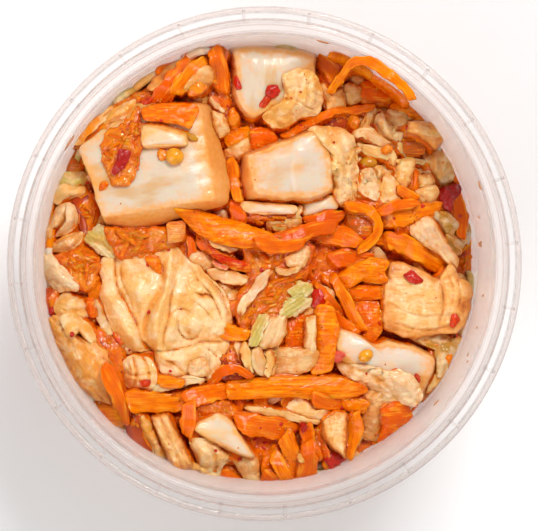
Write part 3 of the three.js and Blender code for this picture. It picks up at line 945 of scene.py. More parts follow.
def fillet(outline: Array, radius: float) -> Array:
    """Rounds a closed outline's corners.

    Args:
        outline: Corners of the outline.
        radius: How far from a corner the rounding starts.

    Returns:
        The rounded outline's points.
    """
    rounded = []
    for k, corner in enumerate(outline):
        before, after = outline[k - 1] - corner, outline[(k + 1) % len(outline)] - corner
        near_before = min(radius, np.linalg.norm(before) * 0.45)
        near_after = min(radius, np.linalg.norm(after) * 0.45)
        start = corner + before / max(np.linalg.norm(before), 1e-6) * near_before
        end = corner + after / max(np.linalg.norm(after), 1e-6) * near_after
        for t in (0, 0.25, 0.5, 0.75, 1):
            rounded.append(start * (1 - t) ** 2 + corner * 2 * t * (1 - t) + end * t**2)
    return np.array(rounded)


# ---- Kinds of piece ----


@dataclass
class Fold:
    """A long fold in a leaf, a crease where its rise is negative, or a layer's edge where it has a step."""

    path: str
    rise: float = 1.0
    width: float = 1.4
    step: float = 0.0
    reach: float = 3.0

    def height(self, x: Array, y: Array) -> Array:
        """The fold's rise at each point.

        Args:
            x: First coordinate of each point.
            y: Second coordinate of each point.

        Returns:
            The rise at each point.
        """
        line = smooth_path(read_points(self.path), 24)[:, :2]
        best = np.full(x.shape, 1e9)
        side = np.zeros(x.shape)
        along = np.zeros(x.shape)
        for k, (a, b) in enumerate(zip(line[:-1], line[1:])):
            d = b - a
            t = np.clip(((x - a[0]) * d[0] + (y - a[1]) * d[1]) / (d @ d), 0, 1)
            ox, oy = x - a[0] - t * d[0], y - a[1] - t * d[1]
            gap = np.hypot(ox, oy)
            closer = gap < best
            best = np.where(closer, gap, best)
            side = np.where(closer, np.sign(d[0] * oy - d[1] * ox), side)
            along = np.where(closer, (k + t) / (len(line) - 1), along)
        fade = np.sqrt(np.clip(4.5 * along * (1 - along) + 0.15, 0, 1))
        swell = self.rise * np.exp(-((best / self.width) ** 2))
        layer = self.step * (0.5 + 0.5 * np.tanh(best * side / 0.16)) * np.exp(-((best / self.reach) ** 2))
        return fade * (swell + layer)


@dataclass
class Slice:
    """A cut of cabbage or carrot, a leaf or a flake, inside a free outline seen from above."""

    finish: Finish
    node: str
    outline: Points
    tone: Tone = Tone.CREAM
    thick: float = 2.4
    rounding: float = 0.45
    top: str = ""
    corner: float = 0.5
    crown: float = 0.4
    tilt: Pair | None = None
    drape: float = 0.3
    settle: float = 0.72
    ribs: float = 0.0
    rib_pitch: float = 2.4
    crumple: float = 0.0
    crumple_size: float = 4.2
    stains: str = ""
    rim_stain: float = 0.35
    rim_power: float = 10.0
    line: float = 0.5
    wrinkle: float = 0.15
    wrinkle_size: float = 4.0
    folds: tuple[Fold, ...] = ()
    grit: float = 0.0
    rag: float = 0.3
    rag_size: float = 2.2
    turn: float = 0.0
    cell: float = 0.7
    lift: float = 0.0
    seed: int = 0

    LEVELS = 8
    THIN = 2.6

    def relief(self, a: Array, b: Array, rho: Array) -> tuple[Array, Array]:
        """The face's form.

        Args:
            a: Place along the grain.
            b: Place across the grain.
            rho: 0 in the middle and 1 at the rim.

        Returns:
            Its rise over a flat face, and how deep in a crease each point lies.
        """
        rise = self.crown * (1 - rho**2)
        crease = np.zeros(len(a))
        rise += self.wrinkle * waves(a / self.wrinkle_size, b / self.wrinkle_size, self.seed)
        if self.ribs:
            bend = 0.35 * waves(a / 9, b / 9, self.seed + 5, 1)
            rise += self.ribs * (np.abs(np.sin(math.pi * (b / self.rib_pitch + bend))) ** 0.7 - 0.6)
        if self.crumple:
            drift = 0.7 * waves(a / 7, b / 7, self.seed + 3, 1)
            for size, share in ((self.crumple_size, 1.0), (self.crumple_size / 2.1, 0.42)):
                bend = waves(a / size / 1.5 + drift, b / size - drift, self.seed + 11 + round(size), 2)
                patches = waves(a / size / 1.7, b / size / 1.7, self.seed + 71, 1)
                fade = np.clip(0.75 + 0.9 * patches, 0.1, 1)
                valley = np.exp(-((bend / 0.12) ** 2)) * fade
                rise += self.crumple * share * (np.abs(bend) ** 0.8 * 0.8 - 0.3 - 0.25 * valley)
                crease += valley * share * min(1.0, self.crumple) * 0.3
        if self.grit:
            rise += self.grit * waves(a / 1.3, b / 0.8, self.seed + 51, 3)
        return rise, crease

    def shape(self, pile: "Pile") -> Shape:
        """The piece, resting on the pile.

        Args:
            pile: What lies in the tub so far.

        Returns:
            The piece's shape, in millimetres.
        """
        rim = fillet(np.array(self.outline, float), self.corner)
        upper_rim = fillet(np.array(read_points(self.top)), self.corner) if self.top else rim
        middle = rim.mean(0)
        size = rim.max(0) - rim.min(0)
        columns, rows = (int(np.clip(round(s / self.cell / 2) * 2, 6, 96)) for s in size)
        blank, faces = BLANKS.slab(columns, rows, self.LEVELS)
        u, v, level = blank[:, 0], blank[:, 1], np.round(blank[:, 2]).astype(int)
        rho = np.maximum(np.abs(u), np.abs(v))
        safe = np.maximum(rho, 1e-6)
        right = np.where((np.abs(u) >= np.abs(v)) & (u > 0), (v / safe + 1) / 8, -1.0)
        left = np.where((np.abs(u) >= np.abs(v)) & (u <= 0), 0.5 + (1 - v / safe) / 8, -1.0)
        upper = np.where((np.abs(u) < np.abs(v)) & (v > 0), 0.25 + (1 - u / safe) / 8, -1.0)
        lower = np.where((np.abs(u) < np.abs(v)) & (v <= 0), 0.75 + (u / safe + 1) / 8, -1.0)
        share = np.max([right, left, upper, lower], axis=0)
        half = self.thick / 2
        curve = min(self.rounding, half * 0.96)
        quarter = np.radians([90, 60, 30, 0])
        sine, cosine = curve * np.sin(quarter), np.cos(quarter)
        drop = np.concatenate([-(half - curve) - sine, half - curve + sine[::-1]])
        inset = np.concatenate([curve * (1 - cosine), curve * (1 - cosine[::-1])])
        w = drop[level] / half
        edge = self.edge(rim, upper_rim, share, (w + 1) / 2)
        away = edge - middle
        length = np.maximum(np.hypot(*away.T), 1e-6)

        ragged = self.rag * waves(edge[:, 0] / self.rag_size, edge[:, 1] / self.rag_size, self.seed + 31, 4)
        spread = rho * (1 - (inset[level] - ragged) / length)
        x = middle[0] + away[:, 0] * spread
        y = middle[1] + away[:, 1] * spread

        turn = math.radians(self.turn)
        a = (x - middle[0]) * math.cos(turn) + (y - middle[1]) * math.sin(turn)
        b = (y - middle[1]) * math.cos(turn) - (x - middle[0]) * math.sin(turn)
        rise, crease = self.relief(a, b, rho)
        for fold in self.folds:
            swell = fold.height(x, y)
            rise += swell
            crease += np.clip(-swell, 0, 0.8) * self.line
        for sx, sy, spread, amount in read_points(self.stains):
            wander = 1 + 0.6 * waves(x / 2.5, y / 2.5, self.seed + 81, 3)
            crease += 2 * amount * np.exp(-(((x - sx) ** 2 + (y - sy) ** 2) * wander / spread**2))
        crease += self.rim_stain * np.clip(rho, 0, 1) ** self.rim_power
        if self.thick > self.THIN:
            rise = rise * (1 + w) / 2
        thin = 1 - 0.35 * rho**4 if self.thick <= self.THIN else 1.0
        body = rise + w * half * thin

        under = pile.sample(x, y)
        facing = level == 0
        if self.tilt is not None:
            slope = np.array(self.tilt)
        else:
            slope = self.lean(x[facing], y[facing], under[facing], middle)
        plane = slope[0] * (x - middle[0]) + slope[1] * (y - middle[1])
        gaps = under[facing] - plane[facing] - body[facing]
        base = plane + np.quantile(gaps, self.settle)
        if self.drape:
            xs, ys, sheet = pile.membrane(rim, 0.02)
            soft = between(sheet, (x - xs[0]) / (xs[1] - xs[0]), (y - ys[0]) / (ys[1] - ys[0])) + half
            base = base * (1 - self.drape) + soft * self.drape
        z = base + body + self.lift
        points = np.stack([x, y, z], -1)
        grain = np.stack([a, b, z - base], -1) * MM
        return Shape(points, faces, grain, self.tone, crease)

    @staticmethod
    def edge(lower: Array, upper: Array, share: Array, height: Array) -> Array:
        """Points round the rim: on the lower outline at height 0 and on the upper one at 1.

        Args:
            lower: Outline of the lower face.
            upper: Outline of the upper face.
            share: How far round each point lies, from 0 to 1.
            height: How high each point lies, from 0 to 1.

        Returns:
            The x and y of each point.
        """
        low = along_outline(lower, share)
        if upper is lower:
            return low
        closed = np.vstack([lower, lower[:1]])
        way = np.concatenate([[0], np.cumsum(np.hypot(*np.diff(closed, axis=0).T))])
        number = np.interp((share % 1.0) * way[-1], way, np.arange(len(closed)))
        top = np.vstack([upper, upper[:1]])
        high = np.stack([np.interp(number, np.arange(len(top)), top[:, k]) for k in (0, 1)], -1)
        return low * (1 - height[:, None]) + high * height[:, None]

    @staticmethod
    def lean(x: Array, y: Array, under: Array, middle: Array) -> Array:
        """Slope of what lies under the piece, which it takes up in part.

        Args:
            x: First coordinate of each point.
            y: Second coordinate of each point.
            under: Height of the pile under each point.
            middle: The middle of the piece.

        Returns:
            The slope along x and along y.
        """
        rows = np.stack([x - middle[0], y - middle[1], np.ones(len(x))], -1)
        fit = np.linalg.lstsq(rows, under, rcond=None)[0]
        return np.clip(fit[:2] * 0.7, -0.4, 0.4)


@dataclass
class Shred:
    """A bar or strip that bends along its path over whatever lies under it."""

    finish: Finish
    node: str
    path: Points
    width: float
    thick: float = 1.8
    tone: Tone = Tone.CARROT
    square: float = 7.0
    taper: float = 0.3
    sag: float = 0.06
    waver: float = 0.24
    rough: float = 0.16
    slant: float = 0.5
    lift: float = 0.0
    drop: float = 0.5
    rim_stain: float = 0.2
    around: int = 24
    seed: int = 0

    MOST_ROLL = 0.55
    ROUNDS = 60

    def shape(self, pile: "Pile") -> Shape:
        """The shred, resting on the pile or held at its path's own heights.

        Args:
            pile: What lies in the tub so far.

        Returns:
            The shred's shape, in millimetres.
        """
        rough = smooth_path(self.path, 16)
        length = float(np.linalg.norm(np.diff(rough[:, :2], axis=0), axis=1).sum())
        count = int(np.clip(round(length / 0.5 / 4) * 4, 16, 80))
        line = smooth_path(self.path, count)
        along = np.gradient(line[:, :2], axis=0)
        along /= np.maximum(np.linalg.norm(along, axis=1, keepdims=True), 1e-6)
        across = np.stack([-along[:, 1], along[:, 0]], -1)
        s = np.linspace(-1, 1, count)
        jitter = 1 + self.waver * waves(s * length / 5 + self.seed, s * 0 + 0.5, self.seed, 2)
        end = np.clip((1 - np.abs(s)) * length / 2 / (0.45 * self.thick), 0, 1)
        cap = 0.75 + 0.25 * np.sqrt(1 - (1 - end) ** 2)
        half = self.width / 2 * (1 - self.taper * np.abs(s) ** 3) * jitter * cap
        deep = self.thick / 2 * cap
        reach = np.array([-0.7, -0.35, 0, 0.35, 0.7])
        px = line[:, :1] + across[:, :1] * half[:, None] * reach
        py = line[:, 1:2] + across[:, 1:2] * half[:, None] * reach
        under = pile.sample(px, py)
        if len(self.path[0]) > 2:
            base = line[:, 2]
            roll = np.zeros(count)
        else:
            base = self.span(under.mean(1) * 0.5 + under.max(1) * 0.5, length / count)
            roll = (under * reach).sum(1) / (reach**2).sum() / np.maximum(half, 0.3)
            steady = np.pad(np.clip(roll, -self.MOST_ROLL, self.MOST_ROLL), 3, mode="edge")
            roll = np.convolve(steady, np.ones(7) / 7, "valid") * 0.8

        blank, faces = BLANKS.bar(count, self.around)
        station = np.round(blank[:, 2]).astype(int)
        radius = np.hypot(blank[:, 0], blank[:, 1])
        turn = np.arctan2(blank[:, 1], blank[:, 0])
        side = np.sign(np.cos(turn)) * np.abs(np.cos(turn)) ** (2 / self.square) * radius
        up = np.sign(np.sin(turn)) * np.abs(np.sin(turn)) ** (2 / self.square) * radius
        off = side * half[station]
        way = s[station] * length / 2
        uneven = self.rough * waves(way / 1.3, turn * 1.4 + self.seed, self.seed + 9, 3)
        ragged = self.rough * 1.4 * waves(way / 1.0, side * 0.8 + self.seed, self.seed + 15, 3)
        skew = self.slant * off * s[station] * np.abs(s[station]) ** 3
        off = off + ragged * side
        x = line[station, 0] + across[station, 0] * off + along[station, 0] * skew
        y = line[station, 1] + across[station, 1] * off + along[station, 1] * skew
        z = base[station] + deep[station] + roll[station] * off + up * (deep[station] + uneven) + self.lift
        grain = np.stack([s[station] * length / 2, off, up * deep[station]], -1) * MM
        patches = waves(way / 2.6, side * 1.5 + self.seed, self.seed + 19, 2)
        stain = self.rim_stain * (np.abs(side) ** 3 + np.abs(s[station]) ** 8 + 1.2 * patches)
        return Shape(np.stack([x, y, z], -1), faces, grain, self.tone, stain)

    def span(self, heights: Array, step: float) -> Array:
        """Heights along the shred: it follows the pile but spans its hollows.

        Args:
            heights: Heights of the pile along the shred.
            step: Distance between them.

        Returns:
            The shred's heights.
        """
        z = heights.copy()
        sag = self.sag * step * step
        for _ in range(self.ROUNDS):
            middle = (z[:-2] + z[2:]) / 2 - sag
            z[1:-1] = np.maximum(heights[1:-1], middle)
            z[0] = max(heights[0], z[1] - self.drop * step)
            z[-1] = max(heights[-1], z[-2] - self.drop * step)
        smooth = np.convolve(np.pad(z, 2, mode="edge"), np.ones(5) / 5, "valid")
        return smooth - 0.1


@dataclass
class Bead:
    """A mustard seed or a bead of pulp."""

    finish: Finish
    node: str
    at: Pair
    size: Triple
    tone: Tone = Tone.GOLD
    turn: float = 0.0
    lump: float = 0.06
    seed: int = 0

    def shape(self, pile: "Pile") -> Shape:
        """The bead, resting on the pile.

        Args:
            pile: What lies in the tub so far.

        Returns:
            The bead's shape, in millimetres.
        """
        ball, faces = BLANKS.ball(4)
        east, north, up = ball.T
        bumps = 1 + self.lump * waves(east * 1.5 + up, north * 1.5 - up, self.seed, 2)
        local = ball * bumps[:, None] * np.array(self.size) / 2
        turn = math.radians(self.turn)
        x = self.at[0] + local[:, 0] * math.cos(turn) - local[:, 1] * math.sin(turn)
        y = self.at[1] + local[:, 0] * math.sin(turn) + local[:, 1] * math.cos(turn)
        floor = pile.sample(np.array([self.at[0]]), np.array([self.at[1]]))[0]
        z = floor + self.size[2] * 0.38 + local[:, 2]
        return Shape(np.stack([x, y, z], -1), faces, local * MM, self.tone)


Piece = Slice | Shred | Bead


def keep_in(points: Array, depth: float) -> Array:
    """Holds points inside the tub's wall, or just into it.

    Args:
        points: The points, in millimetres.
        depth: How far into the wall they may reach.

    Returns:
        The points, pushed in towards the axis where they were too far out.
    """
    radius = np.maximum(np.hypot(points[:, 0], points[:, 1]), 1e-6)
    pull = np.minimum(1.0, (wall_radius(points[:, 2]) + depth) / radius)
    held = points.copy()
    held[:, :2] *= pull[:, None]
    held[:, 2] = np.maximum(held[:, 2], FLOOR - 0.1)
    return held


def make_object(name: str, shapes: list[Shape], finish: Finish, nodes: tuple[str, ...]) -> bpy.types.Object:
    """Joins shapes into one object, dresses it and puts it on the body.

    Args:
        name: The object's name.
        shapes: Its shapes, in millimetres.
        finish: Its finish.
        nodes: The nodes that it stands for.

    Returns:
        The object.
    """
    points = np.concatenate([shape.points for shape in shapes]) * MM
    faces: list[tuple[int, ...]] = []
    start = 0
    for shape in shapes:
        faces += [tuple(i + start for i in face) for face in shape.faces]
        start += len(shape.points)
    mesh = bpy.data.meshes.new(name)
    mesh.from_pydata(points.tolist(), [], faces)
    mesh.shade_smooth()
    tones = np.concatenate([np.tile(linear(shape.tone.value), (len(shape.points), 1)) for shape in shapes])
    stains = np.concatenate([np.zeros(len(s.points)) if s.stain is None else s.stain for s in shapes])
    grains = np.concatenate([shape.grain for shape in shapes])
    for label, kind, key, values in (
        ("tone", "FLOAT_COLOR", "color", tones),
        ("stain", "FLOAT", "value", stains),
        ("grain", "FLOAT_VECTOR", "vector", grains),
    ):
        mesh.attributes.new(label, kind, "POINT").data.foreach_set(key, values.astype(np.float32).ravel())
    piece = bpy.data.objects.new(name, mesh)
    bpy.context.scene.collection.objects.link(piece)
    dress(piece, finish, nodes)
    return piece


def dress(piece: bpy.types.Object, finish: Finish, nodes: tuple[str, ...]) -> None:
    """Gives a finished piece its material and body, and hides the parts of the nodes that it stands for.

    Args:
        piece: The finished object.
        finish: Its finish, whose material is made on its first use.
        nodes: The nodes that it stands for.
    """
    if finish.name not in MATERIALS:
        MATERIALS[finish.name] = finish.material()
    piece.data.materials.clear()
    piece.data.materials.append(MATERIALS[finish.name])
    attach(piece, BODY)
    if nodes:
        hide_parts(*nodes)
    LOG.info("%s: %d faces", piece.name, len(piece.data.polygons))


# ---- Tub ----


@dataclass
class Tub:
    """The clear tub: its body with a stepped rim, the tear-off skirt and the bridges between them."""

    rim_radius: float = 56.1
    rim_step_radius: float = 54.6
    rim_step: float = 0.9
    rim_thickness: float = 1.7
    lip_wall: float = 0.8
    lip_drop: float = 5.5
    skirt_radius: float = 59.0
    skirt_flange: float = 1.4
    skirt_wall: float = 0.9
    skirt_top: float = 63.2
    skirt_depth: float = 7.2
    bridges: int = 24
    bridge_width: float = 0.7
    bridge_height: float = 2.0
    bridge_turn: float = 4.75
    haze: Pair = (46.0, 62.5)
    haze_depth: float = 0.06
    steps: int = 192
    rounding: float = 0.22

    def body_profile(self) -> Points:
        """Radius and height of each corner of the body's wall.

        Returns:
            The corners, from the middle of the base to the middle of the floor.
        """
        under_rim = TUB_HEIGHT - self.rim_thickness
        step_height = TUB_HEIGHT - self.rim_step
        lip_inner = self.rim_radius - self.lip_wall
        lip_foot = TUB_HEIGHT - self.lip_drop

        def inner(height: float) -> float:
            """Inner radius of the plain wall."""
            return MOUTH_RADIUS - (TUB_HEIGHT - height) * WALL_TAPER

        foot = inner(0) + WALL - FOOT_ROUNDING
        return [
            (0, 0),
            (foot, 0),
            (foot + 0.7 * FOOT_ROUNDING, 0.3 * FOOT_ROUNDING),
            (inner(FOOT_ROUNDING) + WALL, FOOT_ROUNDING),
            (inner(under_rim) + WALL, under_rim),
            (lip_inner, under_rim),
            (lip_inner, lip_foot),
            (self.rim_radius, lip_foot),
            (self.rim_radius, step_height - self.lip_wall),
            (self.rim_radius - self.lip_wall, step_height),
            (self.rim_step_radius, step_height),
            (self.rim_step_radius - self.rim_step / 3, TUB_HEIGHT),
            (MOUTH_RADIUS + WALL, TUB_HEIGHT),
            (MOUTH_RADIUS, TUB_HEIGHT - WALL),
            (inner(FLOOR + FOOT_ROUNDING), FLOOR + FOOT_ROUNDING),
            (inner(FLOOR) - FOOT_ROUNDING, FLOOR),
            (0, FLOOR),
        ]

    def skirt_profile(self) -> Points:
        """Radius and height of each corner of the skirt.

        Returns:
            The corners, round its section.
        """
        bottom = self.skirt_top - self.skirt_depth
        under = self.skirt_top - self.skirt_wall
        inner = self.skirt_radius - self.skirt_flange
        return [
            (inner, under),
            (self.skirt_radius - self.skirt_wall, under),
            (self.skirt_radius - self.skirt_wall, bottom),
            (self.skirt_radius, bottom),
            (self.skirt_radius, self.skirt_top - self.skirt_wall / 2),
            (self.skirt_radius - self.skirt_wall / 2, self.skirt_top),
            (inner, self.skirt_top),
        ]

    def haze_profile(self) -> Points:
        """Radius and height of each corner of the film of brine on the inner wall, over the food.

        Returns:
            The corners, round its section.
        """
        low, high = (MOUTH_RADIUS - (TUB_HEIGHT - height) * WALL_TAPER for height in self.haze)
        return [
            (low - self.haze_depth, self.haze[0]),
            (high - self.haze_depth, self.haze[1]),
            (high + self.haze_depth / 2, self.haze[1]),
            (low + self.haze_depth / 2, self.haze[0]),
        ]

    def spun(self, name: str, profile: Points, closed: bool) -> bpy.types.Object:
        """A profile spun round the axis, with its corners rounded.

        Args:
            name: The object's name.
            profile: Radius and height of each corner.
            closed: Whether the profile is a ring, and not a line from axis to axis.

        Returns:
            The object.
        """
        corners = np.array(profile, float)
        rounded = []
        for k, corner in enumerate(corners):
            if not closed and k in (0, len(corners) - 1):
                rounded.append(corner)
                continue
            before, after = corners[k - 1] - corner, corners[(k + 1) % len(corners)] - corner
            near = min(self.rounding, np.linalg.norm(before) * 0.4, np.linalg.norm(after) * 0.4)
            start = corner + before / np.linalg.norm(before) * near
            end = corner + after / np.linalg.norm(after) * near
            for t in (0, 0.33, 0.67, 1):
                rounded.append(start * (1 - t) ** 2 + corner * 2 * t * (1 - t) + end * t**2)
        mesh = bpy.data.meshes.new(name)
        edges = [(k, k + 1) for k in range(len(rounded) - 1)]
        if closed:
            edges.append((len(rounded) - 1, 0))
        mesh.from_pydata([(r * MM, 0, z * MM) for r, z in rounded], edges, [])
        piece = bpy.data.objects.new(name, mesh)
        bpy.context.scene.collection.objects.link(piece)
        deselect()
        bpy.context.view_layer.objects.active = piece
        piece.select_set(True)
        bpy.ops.object.mode_set(mode="EDIT")
        bpy.ops.mesh.select_all(action="SELECT")
        bpy.ops.mesh.spin(steps=self.steps, angle=2 * math.pi, center=(0, 0, 0), axis=(0, 0, 1))
        bpy.ops.mesh.select_all(action="SELECT")
        bpy.ops.mesh.remove_doubles(threshold=1e-6)
        bpy.ops.mesh.normals_make_consistent(inside=False)
        bpy.ops.object.mode_set(mode="OBJECT")
        bpy.ops.object.shade_smooth_by_angle(angle=math.radians(40))
        return piece

    def bridge(self) -> tuple[Array, list]:
        """One bridge, made at +X.

        Returns:
            Its points and its faces.
        """
        inner = self.rim_radius - self.lip_wall / 2
        outer = self.skirt_radius - self.skirt_flange / 2
        height = self.skirt_top - self.skirt_wall / 3 - self.bridge_height / 2
        deselect()
        bpy.ops.mesh.primitive_cube_add(size=1, location=((inner + outer) / 2, 0, height))
        bpy.context.object.scale = (outer - inner, self.bridge_width, self.bridge_height)
        bpy.ops.object.transform_apply(location=True, rotation=True, scale=True)
        bpy.ops.object.mode_set(mode="EDIT")
        bpy.ops.mesh.select_all(action="SELECT")
        bpy.ops.mesh.bevel(offset=0.15, segments=2)
        bpy.ops.object.mode_set(mode="OBJECT")
        return take_mesh()

    def build(self) -> None:
        """Builds the body, the skirt and the bridges."""
        dress(self.spun("tub_body", self.body_profile(), False), PLASTIC, ("tub",))
        dress(self.spun("tub_skirt", self.skirt_profile(), True), PLASTIC, ("tub",))
        dress(self.spun("wall_haze", self.haze_profile(), True), HAZE, ("tub",))
        points, faces = self.bridge()
        shapes = []
        for k in range(self.bridges):
            turn = math.radians(self.bridge_turn) + 2 * math.pi * k / self.bridges
            x = points[:, 0] * math.cos(turn) - points[:, 1] * math.sin(turn)
            y = points[:, 0] * math.sin(turn) + points[:, 1] * math.cos(turn)
            turned = np.stack([x, y, points[:, 2]], -1)
            shapes.append(Shape(turned, faces, turned * MM, Tone.WHITE))
        make_object("tub_bridges", shapes, PLASTIC, ("tub",))


# ---- Core ----


@dataclass
class Core:
    """Pulp and brine that fill the tub below and between the pieces."""

    edge: float = 46.3
    lean_x: float = -6.5
    lean_y: float = 1.0
    saddle: float = -1.5
    dome: float = 3.0
    bump: float = 0.7
    bump_length: float = 9.0
    lumps: float = 0.3
    lump_size: float = 1.8
    spread: float = 2.6
    drop: float = 0.5
    cells: int = 196
    levels: int = 12
    into_wall: float = 0.1

    def top(self, x: Array, y: Array) -> Array:
        """Height of the core's uneven top.

        Args:
            x: First coordinate of each point.
            y: Second coordinate of each point.

        Returns:
            The height at each point.
        """
        u, v = x / MOUTH_RADIUS, y / MOUTH_RADIUS
        rise = self.dome * (1 - u * u - v * v) + self.saddle * (u * u - v * v)
        swell = self.bump * np.sin(2 * x / self.bump_length) * np.cos((2 * y + x) / self.bump_length)
        grit = self.lumps * waves(x / self.lump_size, y / self.lump_size, 5, 3)
        return self.edge + self.lean_x * u + self.lean_y * v + rise + swell + grit

    def start(self, pile: Pile) -> None:
        """Starts the pile from the core's own top."""
        gx, gy = np.meshgrid(pile.axis, pile.axis)
        pile.height = self.top(gx, gy)

    def build(self, pile: Pile) -> Shape:
        """The core's shape, which fills the gaps between the pieces of a whole pile.

        Args:
            pile: The whole pile.

        Returns:
            The core's shape, in millimetres.
        """
        gx, gy = np.meshgrid(pile.axis, pile.axis)
        grit = waves(gx / self.lump_size, gy / self.lump_size, 5, 3)
        level = pile.flood(self.spread, self.drop) + self.lumps * grit
        level = np.minimum(level, pile.height - 0.2)
        level = np.where(pile.skin == "pulp", np.maximum(level, pile.height), level)
        blank, faces = BLANKS.slab(self.cells, self.cells, self.levels)
        u, v = blank[:, 0], blank[:, 1]
        share = blank[:, 2] / (self.levels - 1)
        p = u * np.sqrt(1 - v * v / 2)
        q = v * np.sqrt(1 - u * u / 2)
        top = pile.sample(MOUTH_RADIUS * 0.985 * p, MOUTH_RADIUS * 0.985 * q, level)
        z = FLOOR - 0.1 + (top - FLOOR + 0.1) * share
        radius = wall_radius(z) + self.into_wall
        points = keep_in(np.stack([p * radius, q * radius, z], -1), self.into_wall)
        return Shape(points, faces, points * MM, Tone.RUST)


# ---- What lies in the tub ----


def swollen(outline: Points, growth: float) -> Points:
    """An outline whose corners are moved away from its middle.

    Args:
        outline: The corners.
        growth: How far each corner moves.

    Returns:
        The moved corners.
    """
    middle_x, middle_y = (sum(corner[axis] for corner in outline) / len(outline) for axis in (0, 1))
    grown = []
    for x, y in outline:
        far = math.hypot(x - middle_x, y - middle_y) or 1.0
        grown.append((x + (x - middle_x) / far * growth, y + (y - middle_y) / far * growth))
    return grown


@dataclass(frozen=True)
class Kind:
    """What the pieces of one kind have in common, unless a call says otherwise.

    Pieces of the heap grow a little, so that they tuck against their neighbours.
    """

    finish: Finish
    tone: Tone
    thick: float = 2.0
    growth: float = 0.0
    values: dict[str, object] = field(default_factory=dict)


@dataclass(frozen=True)
class Cut(Kind):
    """A kind of slice, which makes its slices when it is called."""

    def __call__(
        self, outline: Outline, tone: Tone | None = None, thick: float | None = None, node: str = HEAP,
        **more: object,
    ) -> Slice:
        """Makes a slice.

        Args:
            outline: Its outline seen from above.
            tone: Its colour, if it isn't the kind's.
            thick: Its thickness, if it isn't the kind's.
            node: The node that it belongs to.
            more: Other fields of the slice.

        Returns:
            The slice.
        """
        corners = read_points(outline)
        if node == HEAP and self.growth:
            corners = swollen(corners, self.growth)
        values = {**self.values, **more}
        return Slice(self.finish, node, corners, tone or self.tone, thick or self.thick, **values)


@dataclass(frozen=True)
class Bar(Kind):
    """A kind of shred, which makes its shreds when it is called."""

    def __call__(
        self, path: Outline, width: float, thick: float | None = None, tone: Tone | None = None,
        node: str = HEAP, **more: object,
    ) -> Shred:
        """Makes a shred.

        Args:
            path: The points that it runs through.
            width: Its width.
            thick: Its thickness, if it isn't the kind's.
            tone: Its colour, if it isn't the kind's.
            node: The node that it belongs to.
            more: Other fields of the shred.

        Returns:
            The shred.
        """
        grown = width + (self.growth if node == HEAP else 0)
        points, values = read_points(path), {**self.values, **more}
        return Shred(self.finish, node, points, grown, thick or self.thick, tone or self.tone, **values)


# The kinds are called like functions, and are named like them.
stem = Cut(STEM, Tone.WHITE, values={"rim_stain": 1.5, "rim_power": 5.5})
soaked = Cut(
    SOAKED, Tone.BLUSH, growth=0.4, values={
        "crumple": 0.4, "crumple_size": 2.0, "rounding": 0.35, "crown": 0.2, "wrinkle": 0.3,
        "wrinkle_size": 2.2, "cell": 0.36, "rag": 0.32, "rag_size": 1.8, "rim_stain": 0.9, "rim_power": 4,
    },
)
shoot = Cut(
    LEAF, Tone.GREEN, 1.2, growth=0.4, values={
        "crumple": 0.5, "crumple_size": 1.8, "ribs": 0.3, "rib_pitch": 1.0, "rounding": 0.35, "crown": 0.2,
        "rag": 0.5, "rag_size": 1.2, "cell": 0.3,
    },
)
leaf = Cut(
    LEAF, Tone.CREAM, 1.4, growth=0.4, values={
        "rounding": 0.6, "corner": 0.9, "crown": 0.8, "drape": 0.5, "crumple": 0.6, "crumple_size": 2.8,
        "wrinkle": 0.5, "rag": 0.4, "cell": 0.4,
    },
)
# Crumpled leaf that shows between the scraps on it. Its seeds are over those of the other pieces.
bed = replace(
    leaf, thick=1.0, values={
        **leaf.values, "crumple": 0.9, "crumple_size": 2.2, "crown": 0.4, "settle": 0.4, "rag": 0.6,
        "rim_stain": 0.6,
    },
)
flake = Cut(
    CHILLI, Tone.RED, 0.7, values={
        "rounding": 0.25, "crown": 0.25, "drape": 0.6, "wrinkle": 0.2, "wrinkle_size": 1.2, "cell": 0.3,
        "rag": 0.2, "rag_size": 1.0,
    },
)
slab = Cut(
    CARROT, Tone.AMBER, values={"drape": 0.45, "cell": 0.4, "rag": 0.2, "grit": 0.12, "corner": 1.0}
)
pulp = Cut(
    PULP, Tone.RUST, values={
        "rounding": 1.2, "corner": 2.0, "drape": 0.6, "cell": 0.5, "grit": 0.45, "wrinkle": 0.6,
        "wrinkle_size": 2.5, "rag": 0.8,
    },
)
juice_and_shade = Cut(
    JUICE_AND_SHADE, Tone.CRIMSON,
    values={"rounding": 1.0, "corner": 2.0, "drape": 0.5, "wrinkle": 0.35, "rag": 0.4},
)
carrot = Bar(CARROT, Tone.CARROT, growth=0.2)
strip = Bar(
    SOAKED, Tone.PINK, 1.7, growth=0.35,
    values={"square": 5.0, "waver": 0.22, "rough": 0.2, "rim_stain": 0.9, "taper": 0.45},
)


def seed(node: str, at: Pair, size: Triple, turn: float = 0, tone: Tone = Tone.GOLD) -> Bead:
    """A mustard seed."""
    return Bead(SEED, node, at, size, tone, turn)


def bead(
    at: Pair, size: Triple, turn: float, finish: Finish, tone: Tone = Tone.RUST, node: str = HEAP
) -> Bead:
    """A small round lump."""
    return Bead(finish, node, at, size, tone, turn, lump=0.18)


SLAB = "stem_slab_upper_left"
TOP_STEM = "stem_leaf_top"
MIDDLE_STEM = "stem_leaf_middle"
CRUMPLED = "leaf_crumpled"
FRILLED_STEM = "stem_frilled_lower_right"
LOBED_STEM = "stem_lobed_right"
LOWER_LEFT_SLAB = "stem_slab_lower_left"
LEFT_LEAF = "leaf_left"
LOWER_BAR = "carrot_bar_lower"
MOUTH_CARROT = "carrot_lower_left"
ARCH = "15,39.6,53.5 17.6,43,58.5 20.4,46,63 24,45.9,64.8 28,43.4,64.8 31.8,40.3,64.2 34,37.4,63"


